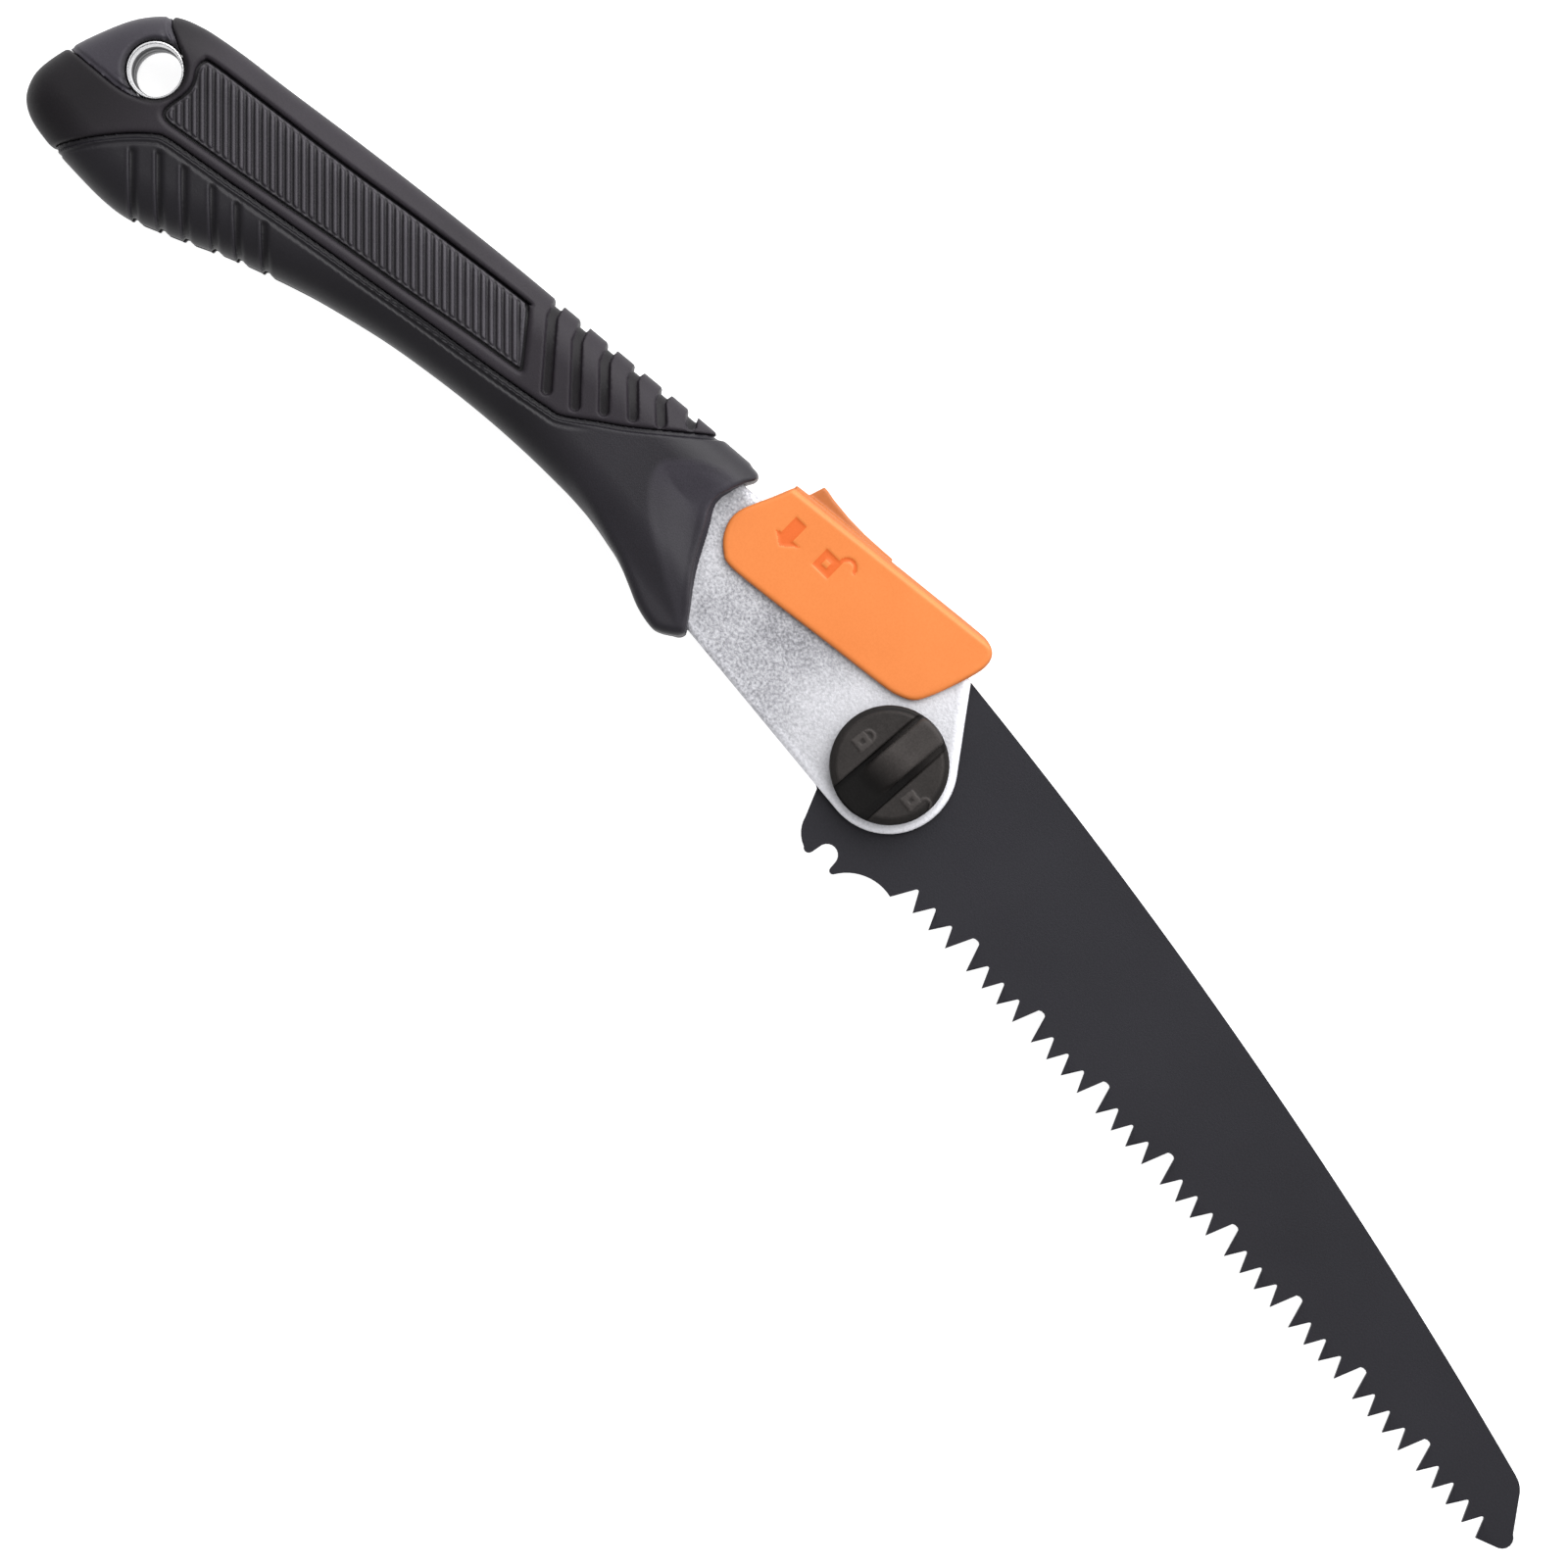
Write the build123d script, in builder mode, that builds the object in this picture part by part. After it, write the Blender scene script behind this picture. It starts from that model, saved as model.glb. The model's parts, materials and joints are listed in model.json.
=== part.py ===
"""Folding pruning saw: a curved, replaceable blade that folds into a two-shell handle.

Every outline is drawn in the blade pivot's own axes: X towards the blade's tip, Y towards the
spine, Z out of the knob side. level(z) puts those axes into the part's frame, whose origin is
the middle of the bounding box, on the surface that the saw lies on.
"""

import os
from math import cos, radians, sin

from build123d import *

# ---- where the pivot stands in the part's frame -------------------------------------------
HANDLE_HALF = 10.5  # half the handle's thickness
PIVOT_X = 11.59
PIVOT_Y = -1.22
MID_Z = HANDLE_HALF

# ---- thicknesses, measured out from the blade's mid-plane ---------------------------------
BLADE_HALF = 0.75
WASHER_GAP = 0.05
PLATE_INNER = 1.8
PLATE_OUTER = 4.0
LATCH_HALF = 1.5
COVER_INNER = 4.4
COVER_OUTER = 5.8
COVER_WALL = 3.2  # bridge over the frame's spine
SLOT_HALF = 1.6  # blade slot in each handle core
SKIN = 2.2  # rubber over the hard cores
EDGE_ROUND = 5.5  # rounding of the handle's long edges
GUARD_HALF = 8.6
BODY_ARCS = (
    (-237.5, 2.0), (-245.1, -21.0), (-239.5, -29.4), (-213.5, -32.4), (-200.0, -28.4),
    (-178.0, -19.4), (-148.0, -11.2), (-112.0, -7.1), (-76.0, -9.0), (-45.0, -15.0),
)
FIT = 0.05  # radial running clearance

# ---- pivot ---------------------------------------------------------------------------------
BOLT_R = 3.0
BUSH_R = 5.0
WASHER_R = 9.0
BOLT_HEAD_R = 8.5
BOLT_HEAD_Z = 8.0
BOLT_END_Z = 7.4
NUT_FLATS = 10.0
NUT_HEIGHT = 2.8
FRAME_END_R = 15.4
TANG_R = 17.0

# ---- blade ---------------------------------------------------------------------------------
SPINE_START = (0.0, 26.2)
SPINE_MIDDLE = (106.0, 9.55)
SPINE_END = (212.0, -15.8)
TOOTH_START = (27.0, -20.0)
TOOTH_MIDDLE = (121.0, -25.6)
TOOTH_END = (215.2, -32.1)
HEEL = (20.8, -20.9)
GROUPS = 8  # four teeth, then one deep gullet
GROUP_FIRST_X = 44.7
GROUP_PITCH = 21.5
TEETH_IN_GROUP = (0.0, 5.15, 10.0, 15.3)  # tooth points, from the group's first point
GULLET = 4.4
DEEP_GULLET = 6.5
GULLET_FLAT = 0.45  # half the flat at a gullet's root
DEEP_GULLET_FLAT = 1.0
NOTCH_HALF = 2.5
NOTCH_BOTTOM_R = 21.6
PRONG_R = 26.9

# ---- lock ----------------------------------------------------------------------------------
LEVER_PIN = (-34.0, 21.0)
LEVER_PIN_R = 2.0
LEVER_HOME = 6.0  # degrees from rest down to the tooth's home in the notch
LATCH_ANGLE = 112.0  # polar angle of the tooth's home, about the blade pivot
CLOSED_NOTCH_ANGLE = -80.0
FOLD_ANGLE = 360.0 + CLOSED_NOTCH_ANGLE - LATCH_ANGLE  # turn from open to closed
LATCH_TOOTH_R = 24.7  # how near the pivot the tooth reaches when home
LATCH_TOOTH_LENGTH = 3.6
LATCH_TOOTH_HALF = 1.8
STOP_PIN = (-22.7, 17.9)
STOP_PIN_R = 1.5
SPRING_X = -50.0
SPRING_POST_Y = 15.0
SPRING_POST_R = 1.4
SPRING_TOP_Y = 21.4
SPRING_R = 1.15
SPRING_WIRE_R = 0.22
SPRING_TURNS = 6

# ---- handle --------------------------------------------------------------------------------
EYELET = (-225.3, -3.4)
EYELET_R = 5.4
EYELET_WALL = 1.1
EYELET_HALF = 8.9
SCREWS = ((-132.0, 11.0), (-168.0, 6.0), (-204.0, 1.0))
SCREW_R = 2.0
SCREW_HEAD_R = 3.6
SCREW_NUT_FLATS = 7.0
SPACER_R = 3.6
PANEL_FLOOR = HANDLE_HALF - SKIN
PANEL_TOP = HANDLE_HALF - 0.2
PANEL_GAP = 0.4

# ---- knob ----------------------------------------------------------------------------------
KNOB_R = 13.5
KNOB_HUB_R = 8.7
KNOB_HUB_Z = 4.6
KNOB_BASE_Z = 6.1
KNOB_FACE_Z = 9.2
KNOB_BAR_Z = 11.8
KNOB_BAR_HALF = 3.2


def level(z):
    """The pivot's own axes, z above the blade's mid-plane."""
    return Plane(origin=(PIVOT_X, PIVOT_Y, MID_Z + z))


def polar(radius, degrees):
    return (radius * cos(radians(degrees)), radius * sin(radians(degrees)))


def turned(point, degrees, about=LEVER_PIN):
    """point, turned about the lever's pin."""
    c, s = cos(radians(degrees)), sin(radians(degrees))
    x, y = point[0] - about[0], point[1] - about[1]
    return (about[0] + c * x - s * y, about[1] + s * x + c * y)


def tooth_line_y(x):
    """Height of the curved line that the tooth points lie on."""
    (x0, y0), (x1, y1), (x2, y2) = TOOTH_START, TOOTH_MIDDLE, TOOTH_END
    return (
        y0 * (x - x1) * (x - x2) / ((x0 - x1) * (x0 - x2))
        + y1 * (x - x0) * (x - x2) / ((x1 - x0) * (x1 - x2))
        + y2 * (x - x0) * (x - x1) / ((x2 - x0) * (x2 - x1))
    )


def pin(radius, low, high, at):
    """A plain cylinder between two levels, where several pins need the same."""
    with BuildPart() as made:
        with BuildSketch(level(low)):
            with Locations(at):
                Circle(radius)
        extrude(amount=high - low)
    return made


def mirrored(front):
    """The same piece on the other side of the blade."""
    with BuildPart() as back:
        add(front.part)
        mirror(about=level(0), mode=Mode.REPLACE)
    return back


# ---- outlines ------------------------------------------------------------------------------
def tooth_points():
    """Points and gullets from the heel to the blade's end, tip line first."""
    tips = [27.0, 32.2, 37.7]
    for group in range(GROUPS):
        tips += [GROUP_FIRST_X + group * GROUP_PITCH + step for step in TEETH_IN_GROUP]
    tips = [x for x in tips if x < TOOTH_END[0] - 4.0] + [TOOTH_END[0]]
    points = [HEEL]
    previous = HEEL[0]
    for number, x in enumerate(tips):
        after_group = number >= 3 and (number - 3) % len(TEETH_IN_GROUP) == 0
        deep = after_group and number < len(tips) - 1
        depth = DEEP_GULLET if deep else GULLET
        flat = DEEP_GULLET_FLAT if deep else GULLET_FLAT
        root = previous + 0.56 * (x - previous)
        points.append((root - flat, tooth_line_y(root) + depth))
        points.append((root + flat, tooth_line_y(root) + depth))
        points.append((x, tooth_line_y(x)))
        previous = x
    return points


def blade_outline():
    with BuildLine() as line:
        ThreePointArc(SPINE_START, SPINE_MIDDLE, SPINE_END)
        ThreePointArc(SPINE_END, (214.2, -16.9), (215.9, -18.9))
        Line((215.9, -18.9), (220.6, -25.6))
        ThreePointArc((220.6, -25.6), (221.9, -28.3), (220.4, -30.2))
        Line((220.4, -30.2), TOOTH_END)
        Polyline(*reversed(tooth_points()))
        ThreePointArc(HEEL, (14.4, -21.2), (8.2, -26.2))
        ThreePointArc((8.2, -26.2), (7.3, -26.5), (6.7, -25.7))
        Line((6.7, -25.7), (6.6, -24.0))
        ThreePointArc((6.6, -24.0), (4.1, -NOTCH_BOTTOM_R), (1.6, -24.0))
        Line((1.6, -24.0), (1.2, -26.0))
        ThreePointArc((1.2, -26.0), (0.2, -PRONG_R), (-1.0, -26.3))
        ThreePointArc((-1.0, -26.3), (-3.9, -24.2), (-5.4, -21.2))
        Line((-5.4, -21.2), (-7.9, -15.0))
        ThreePointArc((-7.9, -15.0), polar(TANG_R, 200), polar(TANG_R, 152))
        ThreePointArc(polar(TANG_R, 152), polar(22.8, 133), polar(PRONG_R, 120))
        near, far = notch_side(1), notch_side(-1)
        Line(polar(PRONG_R, 120), near[0])
        Line(near[0], near[1])
        ThreePointArc(near[1], polar(NOTCH_BOTTOM_R, LATCH_ANGLE), far[1])
        Line(far[1], far[0])
        Line(far[0], SPINE_START)
    return line.line


def notch_side(side):
    """Mouth and root corner of the open notch's wall, on one side of its centre line."""
    out = polar(1, LATCH_ANGLE)
    across = (-side * NOTCH_HALF * sin(radians(LATCH_ANGLE)), side * NOTCH_HALF * cos(radians(LATCH_ANGLE)))
    radii = (PRONG_R - 0.3, NOTCH_BOTTOM_R + NOTCH_HALF)
    return [(r * out[0] + across[0], r * out[1] + across[1]) for r in radii]


def frame_outline():
    """Side plate: round nose at the pivot, tang back through the handle."""
    nose_top = polar(FRAME_END_R, 35.9)
    nose_low = polar(FRAME_END_R, 263.9)
    with BuildLine() as line:
        Line((0.0, 26.3), nose_top)
        ThreePointArc(nose_top, (FRAME_END_R, 0.0), nose_low)
        Line(nose_low, (-66.0, -8.4))
        Polyline((-66.0, -8.4), (-80.0, 5.5), (-132.0, 5.0), (-204.0, -5.0))
        ThreePointArc((-204.0, -5.0), (-210.0, 1.0), (-204.0, 7.0))
        Polyline((-204.0, 7.0), (-132.0, 17.0), (-60.0, 22.7))
        ThreePointArc((-60.0, 22.7), (-34.0, 25.8), (0.0, 26.3))
    return line.line


def body_outline():
    """The handle without its guard, carried on past the front edge: a chain of tangent arcs."""
    with BuildLine() as line:
        last = ThreePointArc((-45.0, 28.2), (-145.0, 21.05), (-222.0, 11.8))
        for x, y in BODY_ARCS:
            last = TangentArc(last @ 1, (x, y), tangent=last % 1)
        Line(last @ 1, (-45.0, 28.2))
    return line.line


def front_outline():
    """Everything behind the handle's slanted front edge, with the guard's lip."""
    with BuildLine() as line:
        Polyline(
            (-54.0, -12.6), (-52.9, -10.8), (-67.0, 12.8), (-68.2, 16.4), (-66.3, 22.6), (-65.5, 24.6)
        )
        ThreePointArc((-65.5, 24.6), (-66.2, 26.4), (-68.3, 27.1))
        Polyline((-68.3, 27.1), (-68.3, 40.0), (-260.0, 40.0), (-260.0, -40.0), (-72.0, -40.0))
        Line((-72.0, -40.0), (-72.0, -11.2))
        Line((-72.0, -11.2), (-65.0, -14.1))
        ThreePointArc((-65.0, -14.1), (-57.5, -15.0), (-54.0, -12.6))
    return line.line


def guard_outline():
    """Front of the hard core, the lighter facet with the finger guard under it."""
    with BuildLine() as line:
        Polyline((-85.0, -7.6), (-76.0, -9.0), (-72.0, -11.2), (-65.0, -14.1))
        ThreePointArc((-65.0, -14.1), (-57.5, -15.0), (-54.0, -12.6))
        Polyline((-54.0, -12.6), (-52.9, -10.8), (-67.0, 12.8), (-72.0, 12.8), (-85.0, -7.6))
    return line.line


def grip_outline():
    """Upper half of the handle's side, where the rubber lies; it runs past the silhouette."""
    with BuildLine() as line:
        Spline((-230.6, -34.0), (-222.0, -19.4), (-214.5, -12.6), (-200.0, -10.2))
        Polyline((-200.0, -10.2), (-107.0, 4.2), (-78.3, 26.1), (-78.3, 40.0), (-231.8, 40.0), (-231.8, 8.9),
                 (-229.2, 5.4))
        ThreePointArc((-229.2, 5.4), (-221.0, -3.4), (-231.0, -12.2))
        Polyline((-231.0, -12.2), (-243.2, -13.4), (-255.0, -14.0), (-255.0, -34.0), (-230.6, -34.0))
    return line.line


def panel_outline():
    with BuildLine() as line:
        FilletPolyline(
            (-219.9, 6.4), (-129.2, 17.6), (-119.4, 5.4), (-217.6, -10.2), (-217.0, -2.6),
            radius=(1.6, 2.6, 1.4, 1.8, 5.0), close=True,
        )
    return line.line


def slot_outline():
    """Where the folded blade lies between the cores; it is open at the belly."""
    with BuildLine() as line:
        Polyline(
            (-40.0, 15.5), (-62.0, 13.0), (-124.0, 5.2), (-214.0, -6.0), (-225.6, -11.5), (-225.6, -40.0),
            (-40.0, -40.0), close=True,
        )
    return line.line


def cover_outline():
    with BuildLine() as line:
        FilletPolyline(
            (-57.9, 30.3), (-70.0, 4.9), (-6.2, 12.3), (3.0, 36.1), radius=(0.6, 10.5, 5.0, 4.5), close=True
        )
    return line.line


def cover_top_y(x):
    return 30.3 + 0.0955 * (x + 57.9)


def cavity_top_y(x):
    """Height of the inside of the cover's back."""
    return cover_top_y(x) - COVER_WALL


def latch_outline():
    """Steel lever under the cover: spring arm, pin boss and the tooth that drops into the blade."""
    home = polar(LATCH_TOOTH_R, LATCH_ANGLE)
    foot = turned(home, LEVER_HOME)
    up = polar(1, LATCH_ANGLE + LEVER_HOME)
    side = (-up[1], up[0])

    def tooth(along, across):
        return (foot[0] + along * up[0] + across * side[0], foot[1] + along * up[1] + across * side[1])

    with BuildLine() as line:
        Polyline(
            (-54.0, cavity_top_y(-54.0)), (-7.2, cavity_top_y(-7.2)), (-7.2, cavity_top_y(0) - 3.0),
            tooth(LATCH_TOOTH_LENGTH, -LATCH_TOOTH_HALF), tooth(0.8, -LATCH_TOOTH_HALF),
            tooth(0.0, -LATCH_TOOTH_HALF + 0.8), tooth(0.0, LATCH_TOOTH_HALF - 0.8),
            tooth(0.8, LATCH_TOOTH_HALF), tooth(LATCH_TOOTH_LENGTH, LATCH_TOOTH_HALF),
            (-20.0, 25.6), (-29.8, 22.4), (-29.8, 19.5), (-34.0, 16.7), (-38.2, 19.5), (-41.0, 21.6),
            (-54.0, 21.6), close=True,
        )
    return line.line


# ---- blade ---------------------------------------------------------------------------------
with BuildPart() as blade:
    with BuildSketch(level(-BLADE_HALF)):
        with BuildLine():
            add(blade_outline())
        make_face()
        Circle(BUSH_R + FIT, mode=Mode.SUBTRACT)
    extrude(amount=2 * BLADE_HALF)

# ---- frame ---------------------------------------------------------------------------------
with BuildPart() as frame_plate_front:
    with BuildSketch(level(PLATE_INNER)):
        with BuildLine():
            add(frame_outline())
        make_face()
        Circle(BOLT_R + FIT, mode=Mode.SUBTRACT)
        with Locations(LEVER_PIN):
            Circle(LEVER_PIN_R, mode=Mode.SUBTRACT)
        with Locations(STOP_PIN):
            Circle(STOP_PIN_R, mode=Mode.SUBTRACT)
        with Locations((SPRING_X, SPRING_POST_Y)):
            Circle(SPRING_POST_R, mode=Mode.SUBTRACT)
        with Locations(*SCREWS):
            Circle(SCREW_R + FIT, mode=Mode.SUBTRACT)
    extrude(amount=PLATE_OUTER - PLATE_INNER)
    nose = frame_plate_front.faces().sort_by(Axis.Z)[-1].outer_wire().edges().sort_by(Axis.X)[-2:]
    chamfer(nose, length=0.5)
frame_plate_back = mirrored(frame_plate_front)

with BuildPart() as frame_spacers:
    with BuildSketch(level(-PLATE_INNER)):
        with Locations(*SCREWS):
            Circle(SPACER_R)
            Circle(SCREW_R + FIT, mode=Mode.SUBTRACT)
    extrude(amount=2 * PLATE_INNER)

lever_pin = pin(LEVER_PIN_R, -PLATE_OUTER, PLATE_OUTER, LEVER_PIN)
stop_pin = pin(STOP_PIN_R, -PLATE_OUTER, PLATE_OUTER, STOP_PIN)
spring_post = pin(SPRING_POST_R, -PLATE_OUTER, PLATE_OUTER, (SPRING_X, SPRING_POST_Y))

# ---- pivot ---------------------------------------------------------------------------------
with BuildPart() as pivot_bolt:
    with BuildSketch(level(-BOLT_HEAD_Z)):
        Circle(BOLT_HEAD_R)
    extrude(amount=BOLT_HEAD_Z - PLATE_OUTER)
    fillet(pivot_bolt.edges().group_by(Axis.Z)[0], radius=1.6)
    with BuildSketch(level(-PLATE_OUTER)):
        Circle(BOLT_R)
    extrude(amount=PLATE_OUTER + BOLT_END_Z)
    chamfer(pivot_bolt.edges().group_by(Axis.Z)[-1], length=0.5)
    with BuildSketch(level(-BOLT_HEAD_Z)):
        RegularPolygon(radius=3.0, side_count=6)
    extrude(amount=2.6, mode=Mode.SUBTRACT)

with BuildPart() as pivot_bush:
    with BuildSketch(level(-PLATE_INNER)):
        Circle(BUSH_R)
        Circle(BOLT_R + FIT, mode=Mode.SUBTRACT)
    extrude(amount=2 * PLATE_INNER)

with BuildPart() as pivot_washer_front:
    with BuildSketch(level(BLADE_HALF + WASHER_GAP)):
        Circle(WASHER_R)
        Circle(BUSH_R + FIT, mode=Mode.SUBTRACT)
    extrude(amount=PLATE_INNER - BLADE_HALF - WASHER_GAP)
pivot_washer_back = mirrored(pivot_washer_front)

# ---- knob ----------------------------------------------------------------------------------
with BuildPart() as knob:
    with BuildSketch(level(KNOB_BASE_Z)):
        Circle(KNOB_R)
    extrude(amount=KNOB_FACE_Z - KNOB_BASE_Z)
    chamfer(knob.edges().group_by(Axis.Z)[-1], length=0.9)
    with BuildSketch(level(KNOB_BASE_Z)):
        Rectangle(2 * KNOB_BAR_HALF, 2 * KNOB_R - 2.2)
    extrude(amount=KNOB_BAR_Z - KNOB_BASE_Z)
    fillet(knob.edges().group_by(Axis.Z)[-1], radius=1.2)
    with BuildSketch(level(KNOB_HUB_Z)):
        Circle(KNOB_HUB_R)
    extrude(amount=KNOB_BASE_Z - KNOB_HUB_Z)
    with BuildSketch(level(KNOB_HUB_Z)):
        RegularPolygon(radius=NUT_FLATS / 2, side_count=6, major_radius=False)
    extrude(amount=NUT_HEIGHT, mode=Mode.SUBTRACT)

with BuildPart() as knob_nut:
    with BuildSketch(level(KNOB_HUB_Z)):
        RegularPolygon(radius=NUT_FLATS / 2, side_count=6, major_radius=False)
        Circle(BOLT_R + FIT, mode=Mode.SUBTRACT)
    extrude(amount=NUT_HEIGHT)

with BuildPart() as knob_washer:
    with BuildSketch(level(PLATE_OUTER)):
        Circle(WASHER_R)
        Circle(BOLT_R + 2 * FIT, mode=Mode.SUBTRACT)
    extrude(amount=KNOB_HUB_Z - PLATE_OUTER - 2 * FIT)

# ---- lock ----------------------------------------------------------------------------------
with BuildPart() as lock_latch:
    with BuildSketch(level(-LATCH_HALF)):
        with BuildLine():
            add(latch_outline())
        make_face()
        with Locations(LEVER_PIN):
            Circle(LEVER_PIN_R + FIT, mode=Mode.SUBTRACT)
    extrude(amount=2 * LATCH_HALF)

with BuildPart() as lever_cover:
    with BuildSketch(level(-COVER_OUTER)):
        with BuildLine():
            add(cover_outline())
        make_face()
    extrude(amount=2 * COVER_OUTER)
    fillet(lever_cover.edges().filter_by(Axis.Z, reverse=True), radius=1.1)
    with BuildSketch(level(-3.8)):
        with BuildLine():
            Polyline((-32.0, 30.0), (-56.2, 29.0), (-53.9, 34.6))
            ThreePointArc((-53.9, 34.6), (-43.5, 33.3), (-32.0, 33.9))
            Line((-32.0, 33.9), (-32.0, 30.0))
        make_face()
    extrude(amount=7.6)
    with BuildSketch(level(-COVER_INNER)):
        with BuildLine():
            Polyline(
                (-80.0, cavity_top_y(-80.0)), (10.0, cavity_top_y(10.0)), (10.0, -5.0), (-80.0, -5.0),
                close=True,
            )
        make_face()
    extrude(amount=2 * COVER_INNER, mode=Mode.SUBTRACT)

with BuildPart() as lock_spring:
    with BuildLine() as coil:
        Helix(
            pitch=(SPRING_TOP_Y - SPRING_POST_Y - SPRING_POST_R - 2 * SPRING_WIRE_R) / SPRING_TURNS,
            height=SPRING_TOP_Y - SPRING_POST_Y - SPRING_POST_R - 2 * SPRING_WIRE_R,
            radius=SPRING_R,
            center=(PIVOT_X + SPRING_X, PIVOT_Y + SPRING_POST_Y + SPRING_POST_R + SPRING_WIRE_R, MID_Z),
            direction=(0, 1, 0),
        )
    with BuildSketch(Plane(origin=coil.line @ 0, z_dir=coil.line % 0)):
        Circle(SPRING_WIRE_R)
    sweep(path=coil.line, is_frenet=True)

# ---- handle --------------------------------------------------------------------------------
def rounded_body(inset):
    """Half the handle's thickness, its long edges rounded, inset all over."""
    with BuildPart() as body:
        with BuildSketch(level(0)):
            with BuildLine():
                add(body_outline())
            make_face()
            if inset:
                offset(amount=-inset, mode=Mode.REPLACE)
        extrude(amount=HANDLE_HALF - inset)
        top = body.faces().sort_by(Axis.Z)[-1].edges()
        fillet(top.sort_by(Axis.X)[:-1], radius=EDGE_ROUND - inset)
    return body


with BuildPart() as handle_half:
    add(rounded_body(0).part)
    with BuildSketch(level(0)):
        with BuildLine():
            add(guard_outline())
        make_face()
    extrude(amount=GUARD_HALF)
    with BuildSketch(level(0)):
        with BuildLine():
            add(front_outline())
        make_face()
    extrude(amount=2 * HANDLE_HALF, mode=Mode.INTERSECT)

under_skin = rounded_body(SKIN)

with BuildPart() as grip_prism:
    with BuildSketch(level(0)):
        with BuildLine():
            add(grip_outline())
        make_face()
    extrude(amount=2 * HANDLE_HALF)

with BuildPart() as spine_grip_front:
    add(handle_half.part)
    add(under_skin.part, mode=Mode.SUBTRACT)
    add(grip_prism.part, mode=Mode.INTERSECT)
    with BuildSketch(level(0)):
        with BuildLine():
            add(panel_outline())
        make_face()
    extrude(amount=2 * HANDLE_HALF, mode=Mode.SUBTRACT)
    with BuildSketch(level(0)):
        with Locations(EYELET):
            Circle(EYELET_R + EYELET_WALL)
    extrude(amount=2 * HANDLE_HALF, mode=Mode.SUBTRACT)
spine_grip_back = mirrored(spine_grip_front)

with BuildPart() as handle_core_front:
    add(handle_half.part)
    add(spine_grip_front.part, mode=Mode.SUBTRACT)
    with BuildSketch(level(PANEL_FLOOR)):
        with BuildLine():
            add(panel_outline())
        make_face()
    extrude(amount=SKIN + 1, mode=Mode.SUBTRACT)
    with BuildSketch(level(0)):
        with BuildLine():
            add(slot_outline())
        make_face()
    extrude(amount=SLOT_HALF, mode=Mode.SUBTRACT)
    with BuildSketch(level(0)):
        with BuildLine():
            add(frame_outline())
        make_face()
    extrude(amount=PLATE_OUTER, mode=Mode.SUBTRACT)
    with BuildSketch(level(0)):
        with Locations(EYELET):
            Circle(EYELET_R + EYELET_WALL)
    extrude(amount=2 * HANDLE_HALF, mode=Mode.SUBTRACT)

handle_core_back = mirrored(handle_core_front)
with BuildPart() as nut_pockets:
    with BuildSketch(level(0)):
        with Locations(*SCREWS):
            Circle(SCREW_R + FIT)
    extrude(amount=HANDLE_HALF)
    with BuildSketch(level(PLATE_OUTER + 1.0)):
        with Locations(*SCREWS):
            RegularPolygon(radius=SCREW_NUT_FLATS / 2, side_count=6, major_radius=False)
    extrude(amount=HANDLE_HALF)
with BuildPart() as head_pockets:
    with BuildSketch(level(-HANDLE_HALF)):
        with Locations(*SCREWS):
            Circle(SCREW_R + FIT)
    extrude(amount=HANDLE_HALF)
    with BuildSketch(level(-HANDLE_HALF)):
        with Locations(*SCREWS):
            Circle(SCREW_HEAD_R)
    extrude(amount=HANDLE_HALF - PLATE_OUTER - 1.6)
with handle_core_front:
    add(nut_pockets.part, mode=Mode.SUBTRACT)
with handle_core_back:
    add(head_pockets.part, mode=Mode.SUBTRACT)

with BuildPart() as grip_panel_front:
    with BuildSketch(level(PANEL_FLOOR)):
        with BuildLine():
            add(panel_outline())
        make_face()
        offset(amount=-PANEL_GAP, mode=Mode.REPLACE)
    extrude(amount=PANEL_TOP - PANEL_FLOOR)
grip_panel_back = mirrored(grip_panel_front)

with BuildPart() as handle_screws:
    with BuildSketch(level(-PLATE_OUTER - 1.6)):
        with Locations(*SCREWS):
            Circle(SCREW_HEAD_R - FIT)
    extrude(amount=-2.4)
    with BuildSketch(level(-PLATE_OUTER - 1.6)):
        with Locations(*SCREWS):
            Circle(SCREW_R)
    extrude(amount=PLATE_OUTER + 1.6 + PLATE_OUTER + 3.8)

with BuildPart() as handle_nuts:
    with BuildSketch(level(PLATE_OUTER + 1.0)):
        with Locations(*SCREWS):
            RegularPolygon(radius=SCREW_NUT_FLATS / 2, side_count=6, major_radius=False)
            Circle(SCREW_R + FIT, mode=Mode.SUBTRACT)
    extrude(amount=3.0)

with BuildPart() as eyelet_front:
    with BuildSketch(level(0)):
        with Locations(EYELET):
            Circle(EYELET_R + EYELET_WALL)
            Circle(EYELET_R, mode=Mode.SUBTRACT)
    extrude(amount=EYELET_HALF)
eyelet_back = mirrored(eyelet_front)

# ---- write each piece ----------------------------------------------------------------------
PIECES = {
    "blade": blade,
    "frame_plate_front": frame_plate_front,
    "frame_plate_back": frame_plate_back,
    "frame_spacers": frame_spacers,
    "lever_pin": lever_pin,
    "stop_pin": stop_pin,
    "spring_post": spring_post,
    "pivot_bolt": pivot_bolt,
    "pivot_bush": pivot_bush,
    "pivot_washer_front": pivot_washer_front,
    "pivot_washer_back": pivot_washer_back,
    "knob": knob,
    "knob_nut": knob_nut,
    "knob_washer": knob_washer,
    "lock_latch": lock_latch,
    "lever_cover": lever_cover,
    "lock_spring": lock_spring,
    "spine_grip_front": spine_grip_front,
    "spine_grip_back": spine_grip_back,
    "handle_core_front": handle_core_front,
    "handle_core_back": handle_core_back,
    "grip_panel_front": grip_panel_front,
    "grip_panel_back": grip_panel_back,
    "handle_screws": handle_screws,
    "handle_nuts": handle_nuts,
    "eyelet_front": eyelet_front,
    "eyelet_back": eyelet_back,
}
os.makedirs("parts", exist_ok=True)
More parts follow.
